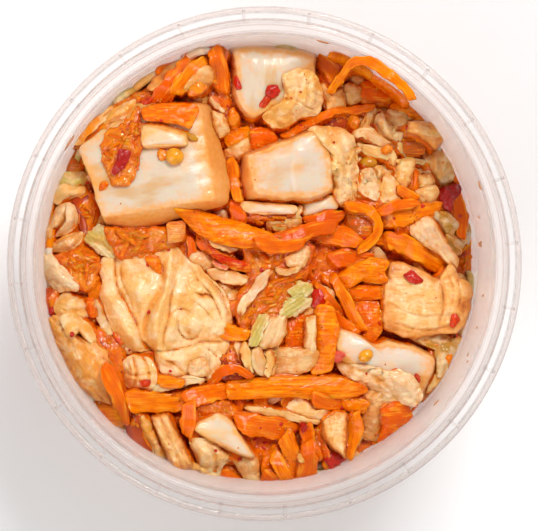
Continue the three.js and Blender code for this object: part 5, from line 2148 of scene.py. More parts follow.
def middle() -> list[Piece]:
    """The tangle of carrots and strips in the middle and at the right.

    Returns:
        The pieces, in the order in which they are laid.
    """
    return [
        strip("8.2,9.2 7.8,11.6 8.8,13.6", 0.9, 1, Tone.CREAM),
        soaked("0.4,10 8.4,10.4 9.2,7.6 3.6,6.8 0.8,7.4", Tone.BLUSH, 1.6, corner=1.4),
        strip("1.8,8.4 3.6,8.2 5.2,8.2", 1.4, 1.2, Tone.GREEN),
        slab("18.6,13.6 22.8,13.6 26.6,11.6 26.6,7.8 24.2,5.6 20,6.4", Tone.BROWN, 1.6),
        carrot("18.8,13.4 22.8,13.2 25.6,11.6 26.8,8.8 25.2,5.4 21.8,3", 2.4, 2.4, tone=Tone.AMBER),
        carrot("9.8,7 13.4,7.4 18.2,6.4 22.4,4.6", 4.4),
        carrot("9.2,9.8 14.4,10.6 19,11.6", 3, tone=Tone.RUST),
        soaked(
            "29.2,0.4 32,0.6 34.8,-0.6 37.8,-1.8 41,-3.2 43.8,0.4 45.2,-1 45.8,-3 47.6,-3.6 49,-5 "
            "49.4,-7.4 49,-10 48.2,-12.8 47,-15.2 45.4,-16.4 42.6,-16.8 39.6,-16.8 36.2,-17.6 33.2,-17.6 "
            "30.8,-16.8 28.4,-15.8 27.4,-13.2 28,-8.6 28.4,-3.8",
            Tone.CREAM, 5, node=LOBED_STEM, crown=1.2, rounding=1.1, corner=0.8, wrinkle=0.4,
            wrinkle_size=5, crumple=0.35, crumple_size=3.4, cell=0.32, line=0.35,
            folds=(
                Fold("35.6,0.4 37.5,-1.5 39.8,-2.9 41.7,-3.8", -0.3, 0.28),
                Fold("41,-2.9 41.8,-6.2 42,-10.9 41.2,-13.7", -0.54, 0.28, -0.8, 2.4),
                Fold("43.6,-2.9 44.6,-6.2 44.2,-9.9", -0.48, 0.28, 0.5, 2),
                Fold("45.5,-3.8 46.2,-7.1 45.9,-10.4", -0.36, 0.28),
                Fold("42.7,-4.8 43.2,-8.1 42.9,-11.8", 0.42, 0.6),
                Fold("29.5,-9.1 32.8,-10.9 37,-12.3 41.7,-11.9", -0.3, 0.28, 0.6, 2.4),
                Fold("33.3,-7.4 36.1,-9.1 39.8,-9.6", -0.24, 0.28),
                Fold("30.9,-13.7 35.1,-15.2 39.8,-15.5 44.1,-14.3", -0.36, 0.28, 0.5, 2),
                Fold("29.5,-5.2 31.9,-6.9 33.3,-9", -0.3, 0.28),
                Fold("34.2,-10.9 37.5,-10.6 40.8,-10.9", 0.3, 1.0),
            ),
            stains="46.6,-9.8,1.8,0.5 30.6,-1.4,1.4,0.3 30.2,-14.4,1.6,0.4 42.2,-7.4,0.9,0.3",
        ),
        flake("32.4,-2.6 34.6,-1.4 36,-2.6 37.4,-4 35.8,-5 33.8,-4.2", node=LOBED_STEM, thick=1),
        flake("44,-11.8 45.4,-11.6 46.2,-13.6 44.6,-15.2 43.6,-14.8", Tone.VERMILION, node=LOBED_STEM),
        flake("45.2,-15.8 46,-15.8 46.2,-18 45.6,-17.8", Tone.VERMILION),
        slab(
            "16,-3.8 19,-1.4 22.4,0.6 25.8,1.6 29.6,0.6 28.4,-1.8 29.4,-4 26.6,-4.8 22.8,-4.2 19,-6.6",
            Tone.AMBER, 2.4, rag=0.4, grit=0.3,
        ),
        slab(
            "19.6,-9.4 22.8,-8.2 27,-8.8 28,-12.6 28.2,-15 27,-17.4 24.8,-19.6 23.8,-19 22.8,-16.6 "
            "21.4,-13.6",
            Tone.CARROT, 2.4, rag=0.25, grit=0.2,
        ),
        slab(
            "18.2,-6.2 22.8,-4.8 28,-5.2 28.4,-8.4 23.8,-8.4 20.4,-9.4", Tone.CARROT, 2.2, rag=0.3,
            grit=0.2,
        ),
        flake("26.4,-13.4 27.4,-13.6 27.6,-14.8 26.8,-14.6"),
        stem(
            "16.6,-14.6 18.8,-15.4 22,-16 23.8,-17.6 26,-18.8 28.6,-17.6 31.8,-18.2 34.8,-18.8 37.8,-20 "
            "40.2,-21.4 41.2,-23 40.6,-25.6 39,-29.4 37.2,-32.4 33,-32 28.2,-29.8 23.6,-27 18.8,-24.2 "
            "16,-22.2 15.6,-18.2",
            Tone.SNOW, 6, node=FRILLED_STEM,
            top=(
                "17.2,-15.2 19,-15.6 21.8,-16.4 23.6,-18 25.8,-19.2 28.2,-18.2 31.6,-18.6 34.4,-19.4 "
                "37.4,-20.6 39.2,-22 40,-23.4 39.4,-25.4 37.8,-28.6 36,-31 32.8,-30.4 28.2,-28.4 "
                "23.6,-25.6 19.4,-23 16.8,-21.2 16.4,-18"
            ),
            crown=1.4, rounding=1.1, corner=1.2, ribs=0.08, wrinkle=0.25,
            stains="36,-26.8,0.9,0.3 18.8,-22,1.4,0.3",
        ),
        leaf(
            "16.8,-23 20,-22.8 24.6,-23.8 29.8,-25.2 31.6,-24.4 34.4,-25.8 36.6,-28.6 37.2,-31.8 35,-33.6 "
            "31.6,-32.8 28.4,-32 24.2,-30 20,-28 17.8,-25.8",
            Tone.PINK, node=FRILLED_STEM, thick=1.8, crown=1.2, crumple=1.1,
            folds=(
                Fold("19.6,-26.6 21.8,-28 24.2,-29.8", 1, 0.6),
                Fold("18.6,-23.8 25.2,-26.2 31.2,-30.8", -0.9, 0.7),
                Fold("30.8,-27.2 33.6,-29 35.4,-31.8", 0.9, 0.8),
            ),
            stains="26.6,-27.2,1.4,0.5 20.4,-25.2,1.2,0.4",
        ),
        flake(
            "15.4,-20.4 17,-20 19.2,-21 18,-22.4 17.6,-23.2 16,-23 15.2,-22.4", Tone.CORAL,
            node=FRILLED_STEM, thick=1,
        ),
        seed(FRILLED_STEM, (23.6, -21.4), (3.6, 2.8, 2.4), 30),
        flake("35.4,-25.6 36.4,-26.2 36.8,-27.8 35.8,-28 35,-26.8", Tone.VERMILION, node=FRILLED_STEM),
        leaf(
            "33.8,-17.2 37.8,-16.8 40.4,-16.6 43.6,-17.2 45.8,-18 45.8,-20.2 43.8,-23 42,-26.4 40.6,-26.4 "
            "40.6,-23.8 40,-21.4 39.4,-20.2 36.6,-19",
            Tone.OLIVE, thick=1.6, crumple=0.8, crown=1.2,
            folds=(Fold("36.6,-18 40.8,-19.4 41.8,-23", -0.9, 0.7),),
        ),
        soaked(
            "24,-29.4 31,-29.4 34.8,-32.2 32,-35 28.2,-42 23,-41.6 22.6,-34.4", Tone.BLUSH, 1.6, corner=2,
            wrinkle=0.4,
        ),
        slab(
            "27.2,-34.4 30,-32.4 33.2,-32.2 35.2,-35.8 32.4,-38.6 29.8,-40.4 26.2,-42.8 28,-38.6",
            Tone.RUST, 1.8, rag=0.35, grit=0.2,
        ),
        carrot("11.6,-4.6 15.4,-8.4 19,-13.2", 1.8, 1.8),
        carrot("13.4,-3 16.4,-5.6 19,-9", 1.6, 1.8, tone=Tone.AMBER),
        flake("11,-6.2 13,-5.6 14.6,-9 13.2,-10.6 11,-10", thick=1),
        carrot("16,-2.8 18.8,-8 21,-12.6 23.2,-15.8", 2.8, 2.2, tone=Tone.AMBER),
        carrot("14.2,-9 17.6,-13.2 22.2,-16.2", 2),
        slab(
            "5,-12.2 9.2,-11.2 10.6,-15.4 10.4,-26.2 6,-26.2 4.6,-20.2", Tone.RUST, 2.2, rag=0.35,
            grit=0.35,
        ),
        slab(
            "12.4,-9.2 16.2,-9.8 17.6,-15.4 16.6,-20.6 16,-25.2 11,-26.2 10.2,-20.6 11,-14.2", Tone.AMBER,
            3, node="carrot_broad_right", rag=0.2, grit=0.15, crown=0.8,
        ),
        soaked("9.6,-12.6 12,-12 12.2,-20.2 11,-21.6 9.2,-20.2", Tone.PINK, 2.4, node="carrot_broad_right"),
        soaked(
            "-1,-19.2 6,-20.2 13,-20.2 11.2,-24.4 6,-26.8 -1.4,-26.8", Tone.BLUSH, 1.8, corner=1.6,
            stains="3.6,-22.6,0.7,0.5 7.4,-24,0.7,0.5",
        ),
        bed(
            "-0.6,-12.4 1.5,-12.6 4.6,-12.9 4.6,-16.2 2.2,-19.4 -1.6,-18.8 -2.9,-16.4", Tone.BUTTER,
            seed=904,
        ),
        bed("-5.4,-18.4 -1,-18.6 3,-18.8 3,-23 2,-26 -3,-25.6 -5.4,-22.6", Tone.CREAM, seed=905),
        strip("-5,-18.2 -4.2,-21.6 -3.2,-25.6", 2, 1.8, Tone.CREAM),
        strip("-1.8,-19.2 -1.4,-22.4 -0.6,-26.2", 2.8, 2),
        strip("0.8,-20.2 1.4,-23 0.4,-26.2", 1.8, 1.8, Tone.CREAM),
        soaked(
            "0.8,-12.6 5,-12.2 4.6,-16.4 2.8,-19.2 -0.6,-19.6 -1.4,-17.4", Tone.PINK, 2.4, ribs=0.2,
            rib_pitch=1.4, turn=70,
        ),
        shoot("-1.4,-11.8 0.6,-12 0.8,-13.6 -0.6,-16.4 -2,-19.2 -3.8,-19 -3,-15.6", turn=65),
        carrot("-11.2,-14.8 -7.6,-16.2 -3.4,-16.8", 3.6, 2.2, tone=Tone.AMBER),
        carrot("-13,-28.6 -10,-25.2 -6.6,-24.4 -2.8,-26.6", 2.2, tone=Tone.RUST),
        strip("1.6,-1.4 -0.6,-3.8 -2.8,-7 -5,-9.6 -5.6,-12", 2.2, 2, Tone.WHITE),
        strip("-13.4,-2.2 -9.8,-2.8 -6.6,-3.4 -4,-4.2", 3, 2),
        slab(
            "-13.2,5.6 -11.2,3.2 -8,1.4 -2.8,0 -2.8,-2.4 -7.6,-1.4 -10.8,0.4 -13.2,2.8", Tone.RED, 1.6,
            rag=0.4, wrinkle=0.5,
        ),
        strip("-12.2,0.8 -10.4,-0.6 -8.4,-1", 1.4, 1.2, Tone.CORAL),
        soaked("5,1.4 6.8,3 9,4.2 10.6,3.6 10.4,1.8 9.2,-0.6 7.8,-1.2 5.6,-0.8", Tone.PINK, 1.8, corner=1),
        strip("2.4,-1.4 5.4,-2 8.4,-1", 1.2, 1.2, Tone.BLUSH),
        bed("6.5,-5.5 10.6,-4.9 11.1,-8.4 7.7,-11.9 3.6,-12.1 4.8,-9.6 5.9,-7.8", Tone.GREEN, seed=903),
        shoot("5.4,-6.4 8,-4.4 10.8,-4.8 10.8,-6.8 9,-8 6.8,-7.8", turn=10),
        shoot("3.2,-11.6 5.8,-8.8 8.2,-7.4 10.8,-8.2 10.6,-10 8.2,-11.4 6,-12.4 3.8,-12.8", turn=35),
        strip("-12.8,5 -9.8,4.4 -6.2,3.2", 2, 1.6),
        carrot("-0.6,5.4 6,6 12,8.2 17,8.8", 3.6, 2.2, tone=Tone.RUST),
        slab(
            "-22.2,13.8 -18.6,13 -14.8,12.4 -10.2,11 -5.6,9.8 -0.6,8 2.6,6.8 2.2,4.8 -1.4,4 -5,3.4 -8,4 "
            "-12.6,5.2 -14.8,6.6 -17.2,8.2 -19.4,10.8",
            Tone.AMBER, 2.6, node="carrot_bar_middle", crown=1, rag=0.25, grit=0.15, drape=0.7,
        ),
        carrot("-2.2,5 3.6,4 9.4,4.8", 3.4, 2.4, node="carrot_bar_middle"),
    ]


def crumpled_leaf() -> list[Piece]:
    """The large crumpled leaf and what lies on its edge.

    Returns:
        The pieces, in the order in which they are laid.
    """
    return [
        leaf(
            "-38.8,-1 -38,1.6 -35.4,2.2 -31.2,2.2 -28.4,3 -24.6,3.8 -21.4,4.8 -19.6,3.2 -17.2,0.3 -15,0 "
            "-14,-2.2 -12,-3.8 -9.8,-6 -8.2,-8.4 -7.6,-11.8 -7.8,-16.6 -8.4,-21.2 -9.8,-24.6 -12,-27.2 "
            "-15,-27.8 -18.4,-28.4 -21.4,-27 -24.2,-25.6 -25.6,-22.8 -26,-20.4 -28.8,-20.6 -31.2,-20.2 "
            "-33.4,-18.6 -35.8,-15.4 -37.4,-11.2 -38.6,-7.4 -38,-4.2",
            node=CRUMPLED, thick=2.2, crown=3.0, crumple=0.45, crumple_size=3.6, wrinkle=0.5,
            wrinkle_size=6, cell=0.3, rag=0.35, corner=0.6, drape=0.35, line=0.4,
            folds=(
                Fold(
                    "-34.9,1.1 -34.9,-2.6 -34.2,-6.3 -32.6,-8.9 -31.1,-11.8 -29.7,-14.7 -28.7,-17.9", -0.5,
                    0.3, -1.3, 2.6,
                ),
                Fold("-28.8,-17.9 -27.4,-19.3 -25.5,-21", -1.3, 0.5),
                Fold("-37.2,-0.9 -37.1,-4.9 -35.7,-8.4 -33.7,-11.8 -31.1,-16.4 -29.1,-19.3", 1.3, 1.6),
                Fold("-33.1,0.3 -33.5,-2 -32.9,-4.9 -31.5,-7.8 -30.6,-10.7", -0.6, 0.26),
                Fold("-30,-6.6 -29.7,-9.5 -29.1,-12.4", -0.4, 0.26),
                Fold("-29.7,-0.9 -29.1,-4.9 -28.3,-9.5 -27.8,-12.4", 0.9, 2.2),
                Fold("-23.8,-0.3 -23.6,-4.9 -25.2,-8.4 -27,-11.8 -27.8,-15.3 -27.5,-18.2", -1.3, 0.7),
                Fold(
                    "-21.6,3.2 -22.1,-1.5 -22.9,-6.1 -23.8,-8.9 -25,-13 -25.1,-17.6 -23.9,-22.2", 1.7, 1.2,
                ),
                Fold("-20.5,-4 -21.6,-7.8 -22.1,-12.4 -23.2,-16.4 -23.4,-19.6", -0.9, 0.3, 0.7, 2.4),
                Fold("-19,-6.1 -20.4,-10.7 -21.1,-15.3 -21.6,-18.2", 0.7, 0.9),
                Fold("-22.1,-12.2 -20.8,-10.9 -18.9,-10.5 -17.1,-11.4", -0.8, 0.26),
                Fold("-20,-13.3 -19.8,-15.7 -18.1,-17.5 -15.8,-17.1 -14.6,-15.4", -0.8, 0.26),
                Fold("-18.5,-13.5 -17,-14.1 -16.2,-15.6", 0.8, 1.0),
                Fold("-16.1,-6.7 -14.4,-7.3 -13.6,-7.1 -12,-7.9", -0.9, 0.26),
                Fold("-15.4,-3.8 -12.6,-6.9 -10.7,-10.7 -9.7,-13.5", -0.8, 0.26, 0.6, 2),
                Fold("-14.4,-3.5 -11.3,-7.2 -9.2,-11.2 -8.8,-14.1", 0.8, 0.7),
                Fold("-13.6,-2.9 -10.1,-6.9 -8.3,-11.8", -0.6, 0.26),
                Fold("-16.6,-8.5 -14,-10.4 -11.8,-13.5", -0.7, 0.26, 0.5, 2),
                Fold("-17.6,-0.3 -15.9,-2.6 -15.3,-5.5", -0.6, 0.3),
                Fold("-25.2,-20.5 -21.6,-20.2 -17.6,-19.3 -14.7,-18.3 -9.5,-18.3", -0.9, 0.3, -0.9, 2.6),
                Fold("-23.4,-22.5 -21.1,-23.3 -18.7,-25.6", -0.5, 0.3),
                Fold("-23.9,-21.6 -21.1,-22.2 -17.6,-22.2", 0.7, 1.0),
                Fold("-14.4,-18.7 -11.8,-21 -10.1,-22.2", -0.5, 0.26),
                Fold("-15.3,-25.6 -13,-24.5 -10.7,-22.2", 0.6, 0.9),
            ),
            stains=(
                "-33.1,-2,1.4,0.45 -25.4,-0.9,1.6,0.7 -22.8,-3.2,1.2,0.5 -14.4,-7.1,1.2,0.6 "
                "-17.6,-15.8,1.1,0.55 -20.8,-12.4,0.8,0.4 -21.9,-23,1,0.8 -11.8,-17.6,1.4,0.35 "
                "-30.8,-17.6,1.2,0.25 -15.9,-20.5,1.2,0.3 -13,-10.7,0.9,0.35"
            ),
        ),
        slab(
            "-28.3,1.7 -26.2,2.3 -24.2,1.4 -23.8,-0.9 -24.2,-2.9 -25.2,-2 -27.1,-0.3", Tone.CARROT, 0.9,
            node=CRUMPLED, rag=0.2, lift=-0.1,
        ),
        soaked(
            "-18.2,-23.2 -15.4,-21.6 -12.6,-22.8 -12.8,-26 -15.8,-26.8 -18,-25.6", Tone.PINK, 1.4,
            node=CRUMPLED, corner=1.4,
        ),
        strip("-26.6,-29 -22.4,-28.6 -18.2,-27.2 -14,-27.4", 2, 1.4),
        slab("-25.6,-25.6 -22,-26.2 -18.2,-27 -18.8,-29 -22.4,-29 -25.2,-28.4", Tone.AMBER, 1.4),
        leaf(
            "-33.8,-23.2 -32.2,-21.8 -29.4,-21.2 -26.6,-21.8 -25,-24.6 -24.8,-27.4 -26,-29.4 -28.8,-30.2 "
            "-31.2,-30.2 -32.6,-28.8 -33.6,-26",
            node=CRUMPLED, thick=1.8, crown=1.6, crumple=0.3, cell=0.3, line=0.75,
            folds=(
                Fold("-30.4,-22.1 -29.9,-25.6 -30.7,-29.2", -0.9, 0.4),
                Fold("-28.3,-21.7 -27,-24.8 -26.7,-27.9", -0.9, 0.4),
                Fold("-32.7,-25.6 -30.3,-26 -25.5,-25.2", -0.7, 0.4),
                Fold("-32,-23.3 -31.4,-24.5 -32,-25.4", -0.6, 0.4),
            ),
        ),
        flake(
            "-29.2,-27.4 -28,-26.8 -26.6,-26.8 -26.2,-27.8 -27.2,-28.8 -28.6,-28.8", Tone.VERMILION,
            node=CRUMPLED,
        ),
        slab("-35.4,-15.4 -34,-16.8 -32.6,-18.6 -33.6,-19.6 -35,-18.2", Tone.CORAL, 1.2),
    ]


def bottom() -> list[Piece]:
    """Pieces along the lower edge.

    Returns:
        The pieces, in the order in which they are laid.
    """
    return [
        carrot("-32,-31.8 -26.6,-32.2 -21.4,-32.4 -17.4,-31.8", 4.8, 2.4, tone=Tone.AMBER),
        carrot("-18.8,-31.8 -13.6,-30.4 -7.6,-29.4", 4.6, 2.6),
        carrot("-17.4,-31.8 -17.6,-36 -18.2,-40.2", 3.8, 2.2),
        slab(
            "-9.4,-27.4 -0.6,-26.4 8.8,-26.2 17.6,-26.4 23.6,-28.4 24.4,-30.2 20.2,-31.6 12.8,-32 6,-31.2 "
            "-1.4,-31.6 -8.4,-31.8",
            Tone.AMBER, 2.8, node=LOWER_BAR, crown=1, rag=0.25, grit=0.2, drape=0.6,
        ),
        carrot("11,-31.2 14.8,-32.6 19.4,-33.2", 3.6, node=LOWER_BAR),
        leaf(
            "4,-34 8.2,-30.8 11,-32.6 13,-34.4 16.6,-33.6 14.8,-36.4 12.4,-37.8 9.2,-36.4 6,-35.8",
            thick=1.6, crown=1, crumple=0.4,
        ),
        strip("-4.8,-33.8 -0.6,-34.4 4.2,-35.4 8.2,-36.4 13,-37.4", 1.6, 1.4, Tone.CREAM),
        carrot("-7,-36.8 -2,-37.8 3.6,-38.8 7.6,-39.6", 5, 2.6),
        slab("17.6,-31 20.8,-30.8 25,-32.6 23.6,-35.4 20,-35 18,-33.6", rag=0.3, grit=0.2),
        carrot("21.6,-34.6 21,-39.8 19.6,-46", 3.2, 2.4, tone=Tone.AMBER),
        carrot("13,-38.4 13.4,-42.2 14.4,-46", 2.6, 2.2, tone=Tone.RUST),
        carrot("9.8,-37.6 10.6,-41.8 12.6,-46.4", 3, 2.2),
        flake("8,-37.2 9.8,-37.2 10.2,-39 8.8,-39.8", Tone.CRIMSON, thick=1.2),
        carrot("4.6,-40 6.4,-45 7.4,-52.6", 4.4, 2.4, tone=Tone.AMBER),
        carrot("10.2,-41.4 10.2,-47.6 8.4,-53.2", 4, 2.4),
        carrot("1.8,-44.2 4.6,-49.4 7.4,-54", 3, tone=Tone.AMBER),
        carrot("-0.6,-49.4 1.8,-51.4 4.6,-53.2", 4),
        carrot("13.6,-46.6 16.8,-49 13,-50.8 9.4,-52.2", 3, tone=Tone.AMBER),
        strip("7.8,-44.6 9,-46.6", 1, 1, Tone.BUTTER),
        leaf(
            "-29.6,-34.2 -27.2,-35.8 -24,-41.8 -19.8,-48.4 -21.6,-49.4 -25.4,-45.6 -28.2,-39.4", Tone.HONEY,
            ribs=0.3, turn=-62,
        ),
        soaked(
            "-27,-35.6 -22.6,-34.6 -19.2,-40.8 -16,-47.8 -19,-50.2 -21.8,-49.2 -24.4,-42.6", Tone.CREAM,
            4.2, node="stem_stick_bottom",
            top="-26,-35.8 -22.6,-35.2 -19.6,-40.6 -17,-46.6 -19.2,-47.8 -21,-47.4 -23.8,-41.6", ribs=0.35,
            rib_pitch=1.5, turn=-62, rounding=0.9,
            folds=(Fold("-24.2,-36.2 -21.4,-42.4 -19.2,-47", -0.6, 0.5),), stains="-19.6,-47.8,1.2,0.35",
        ),
        leaf(
            "-17.8,-41.2 -15.6,-40 -12.2,-41.2 -7.2,-45.4 -10,-47.8 -11,-52.4 -13.6,-52.2 -15.6,-51.4 "
            "-16.2,-45.2",
            node="leaf_frill_bottom", thick=1.8, crown=1.6, crumple=1.1,
            folds=(
                Fold("-14.6,-43.6 -15,-47.2 -14.2,-51", 1, 0.9),
                Fold("-12.2,-42.6 -11.4,-45.8 -11.8,-49.6", -1.2, 0.6),
                Fold("-10.4,-43.6 -9,-45.4", 0.6, 0.6),
            ),
            stains="-14.6,-43.8,0.5,0.6",
        ),
        slab("-10.8,-48.4 -9,-47 -6.6,-48.4 -3.8,-51.8 -7.6,-51.8 -10.8,-51.2", Tone.CARROT, 1.8),
        soaked("-7.6,-45.6 -4.8,-45.6 -1.8,-46 -1,-52.6 -3,-52.6 -5.2,-49.4", Tone.BLUSH, 1.8, corner=0.8),
        stem(
            "-17.2,-38.4 -16,-36.8 -13.6,-35.6 -11,-34.2 -7.6,-36 -4.8,-40.8 -1.8,-45.4 -3.4,-45.8 "
            "-6.2,-45 -10,-43 -14.2,-40.8",
            Tone.CREAM, 3, node="stem_wedge_bottom",
            top=(
                "-16.6,-38.4 -15.4,-37 -13.4,-35.8 -11,-34.8 -7.8,-36.4 -5.2,-40.8 -2.6,-44.8 -3.6,-45 "
                "-6.2,-44 -9.8,-42.2 -13.8,-40"
            ),
            rounding=0.6, corner=0.6, crown=0.5, wrinkle=0.1,
        ),
        soaked(
            "12.8,-37.2 16.8,-34.2 20.2,-35 20.2,-40.4 19.2,-46.2 15.4,-43.8 13,-41", Tone.CREAM, 4.6,
            node="stem_block_bottom",
            top="14.2,-36.6 17,-34.6 19,-35 19,-40.2 18.4,-44.8 16,-42.4 14.6,-39.6", rounding=0.6,
            stains="16.4,-36.4,0.2,0.9 16.4,-39,0.2,0.9",
        ),
        flake("13.8,-46 16,-43.8 19.6,-46 15.6,-48.6", thick=1),
    ]


def on_the_slab() -> list[Piece]:
    """What lies on the largest slab, and the arch.

    Returns:
        The pieces, in the order in which they are laid.
    """
    return [
        Slice(
            PULP, SLAB,
            read_points(
                "-36.8,29.4 -35.8,31 -33.4,31.2 -32,32.6 -30.8,33.6 -29.2,36.4 -28.4,32.8 -28.2,26 "
                "-28.2,23.2 -29.2,20.8 -30,18.8 -31.8,17.2 -34.6,17.6 -35.6,19.6 -36.6,22.6 -37.2,26",
            ),
            Tone.RUST, 1.1, crown=0.7, wrinkle=0.6, wrinkle_size=2, rag=0.7, rag_size=1.6, grit=0.4,
            corner=1, drape=0.8, cell=0.3, rounding=0.5,
            stains="-30.4,33,3.2,0.55 -30.2,28.6,2,0.3 -34,23.6,2.4,0.35",
        ),
        flake(
            "-33.4,26.4 -32,26.2 -30.4,26 -30.8,24.2 -32.2,21.8 -34.6,20 -35,21.2 -34,23.6", Tone.CRIMSON,
            node=SLAB, wrinkle=0.4,
        ),
        slab("-38.2,17 -37.8,18.6 -36.6,19.2 -35.6,18.6 -36.2,17.2 -37.6,16.8", Tone.RUST, 0.8, node=SLAB),
        slab(
            "-28.2,35.6 -26.2,36.4 -21.6,37 -15.2,36.8 -15.6,33.2 -16.8,30.6 -19.8,32 -23.8,32.4 "
            "-27.8,32.8",
            Tone.CARROT, 2.2, node="carrot_on_slab", grit=0.3, rag=0.35,
        ),
        stem(
            "-28.8,32 -26.2,32.4 -23.4,32 -20.2,31.2 -17.4,30 -17.2,27 -20.4,26.2 -25,26.2 -28.4,26.4",
            Tone.CREAM, 2.6, node="stem_stick_on_slab",
            top=(
                "-28.2,31.4 -26,31.6 -23.4,31.2 -20.4,30.4 -18.2,29.4 -17.8,27.2 -20.6,26.8 -25,26.8 "
                "-28,26.8"
            ),
            corner=0.8, ribs=0.12, stains="-22,31.4,0.9,0.6 -19.2,30.2,0.9,0.5",
        ),
        seed(SLAB, (-20.6, 24.6), (4.2, 3.8, 3.2)),
        bead((-23.2, 25), (2.2, 2.6, 1.4), 20, BITS, node=SLAB),
        seed(SLAB, (-16.8, 29.2), (3.4, 1.6, 1.5), -25, Tone.MUSTARD),
        seed(HEAP, (24.4, 23.8), (4.2, 3, 2.6), 0, Tone.MUSTARD),
        carrot(ARCH, 2.4, node="carrot_arch", tone=Tone.AMBER),
    ]


@dataclass
class Filler:
    """Small shreds, strips, scraps of leaf and grated mush that lie all over the core."""

    count: int = 230
    flakes: int = 70
    seed: int = 7
    reach: float = 49.0
    flake_reach: float = 48.0
    carrot_share: float = 0.5
    strip_share: float = 0.25
    sink: float = -0.5

    CARROTS = (Tone.CARROT, Tone.AMBER, Tone.RUST)
    STRIPS = (Tone.PINK, Tone.BLUSH, Tone.CREAM, Tone.BROWN)
    LEAVES = (Tone.HONEY, Tone.BUTTER, Tone.OLIVE, Tone.BLUSH)
    FLAKES = (Tone.CARROT, Tone.RUST, Tone.RUST)
    FLAKE = ((-1, -0.4), (-0.3, -1), (0.7, -0.8), (1, 0.2), (0.4, 1), (-0.6, 0.8))

    @staticmethod
    def spot(draw: np.random.Generator, reach: float) -> Pair:
        """A random place within a distance of the axis.

        Args:
            draw: The random numbers.
            reach: The distance.

        Returns:
            The place's x and y.
        """
        angle, radius = draw.uniform(0, 2 * math.pi), reach * math.sqrt(draw.uniform(0, 1))
        return radius * math.cos(angle), radius * math.sin(angle)

    @staticmethod
    def moved(corners: Points, x: float, y: float, turn: float) -> Points:
        """Corners turned by an angle and moved to a place.

        Args:
            corners: The corners.
            x: First coordinate of the place.
            y: Second coordinate of the place.
            turn: The angle, in radians.

        Returns:
            The moved corners.
        """
        c, s = math.cos(turn), math.sin(turn)
        return [(x + c * a - s * b, y + s * a + c * b) for a, b in corners]

    def pieces(self) -> list[Piece]:
        """The scraps, in the order that they are laid in.

        Returns:
            The pieces, in the order in which they are laid.
        """
        draw = np.random.default_rng(self.seed)
        scraps: list[Piece] = []
        for _ in range(self.count):
            x, y = self.spot(draw, self.reach)
            turn = draw.uniform(0, math.pi)
            length, width, bend = draw.uniform(5, 14), draw.uniform(1.8, 4.2), draw.uniform(-2, 2)
            kind = draw.uniform()
            path = self.moved([(-length / 2, 0), (0, bend), (length / 2, 0)], x, y, turn)
            if kind < self.carrot_share:
                tone = self.CARROTS[int(draw.integers(len(self.CARROTS)))]
                scraps.append(carrot(path, width, draw.uniform(1.2, 2.2), tone=tone, lift=self.sink))
            elif kind < self.carrot_share + self.strip_share:
                tone = self.STRIPS[int(draw.integers(len(self.STRIPS)))]
                scraps.append(strip(path, width * 0.8, draw.uniform(1.0, 2.0), tone, lift=self.sink))
            else:
                tone = self.LEAVES[int(draw.integers(len(self.LEAVES)))]
                half, short, long = width * 0.8, length / 3, length / 2.6
                corners = [(-short, -half), (short, -half), (long, half), (-long, half)]
                outline = self.moved(corners, x, y, turn)
                scraps.append(leaf(outline, tone, lift=-0.3, cell=0.55, corner=2.0))
        return scraps

    def mush(self, pile: Pile) -> list[Piece]:
        """Soft flat flakes of grated carrot that lie where the pulp would be bare.

        Args:
            pile: What lies in the tub so far.

        Returns:
            The pieces, in the order in which they are laid.
        """
        draw = np.random.default_rng(self.seed + 1)
        flakes: list[Piece] = []
        while len(flakes) < self.flakes:
            x, y = self.spot(draw, self.flake_reach)
            turn = draw.uniform(0, math.pi)
            length, width = draw.uniform(1.2, 4.0), draw.uniform(0.4, 0.8)
            tone = self.FLAKES[int(draw.integers(len(self.FLAKES)))]
            outline = self.moved([(a * length, b * width) for a, b in self.FLAKE], x, y, turn)
            if (pile.skins(*np.array(outline).T) == "pulp").all():
                values = {"drape": 0.9, "rag": 0.4, "grit": 0.2, "crown": 0.15, "lift": -0.2}
                flakes.append(slab(outline, tone, 0.6, **values))
        return flakes


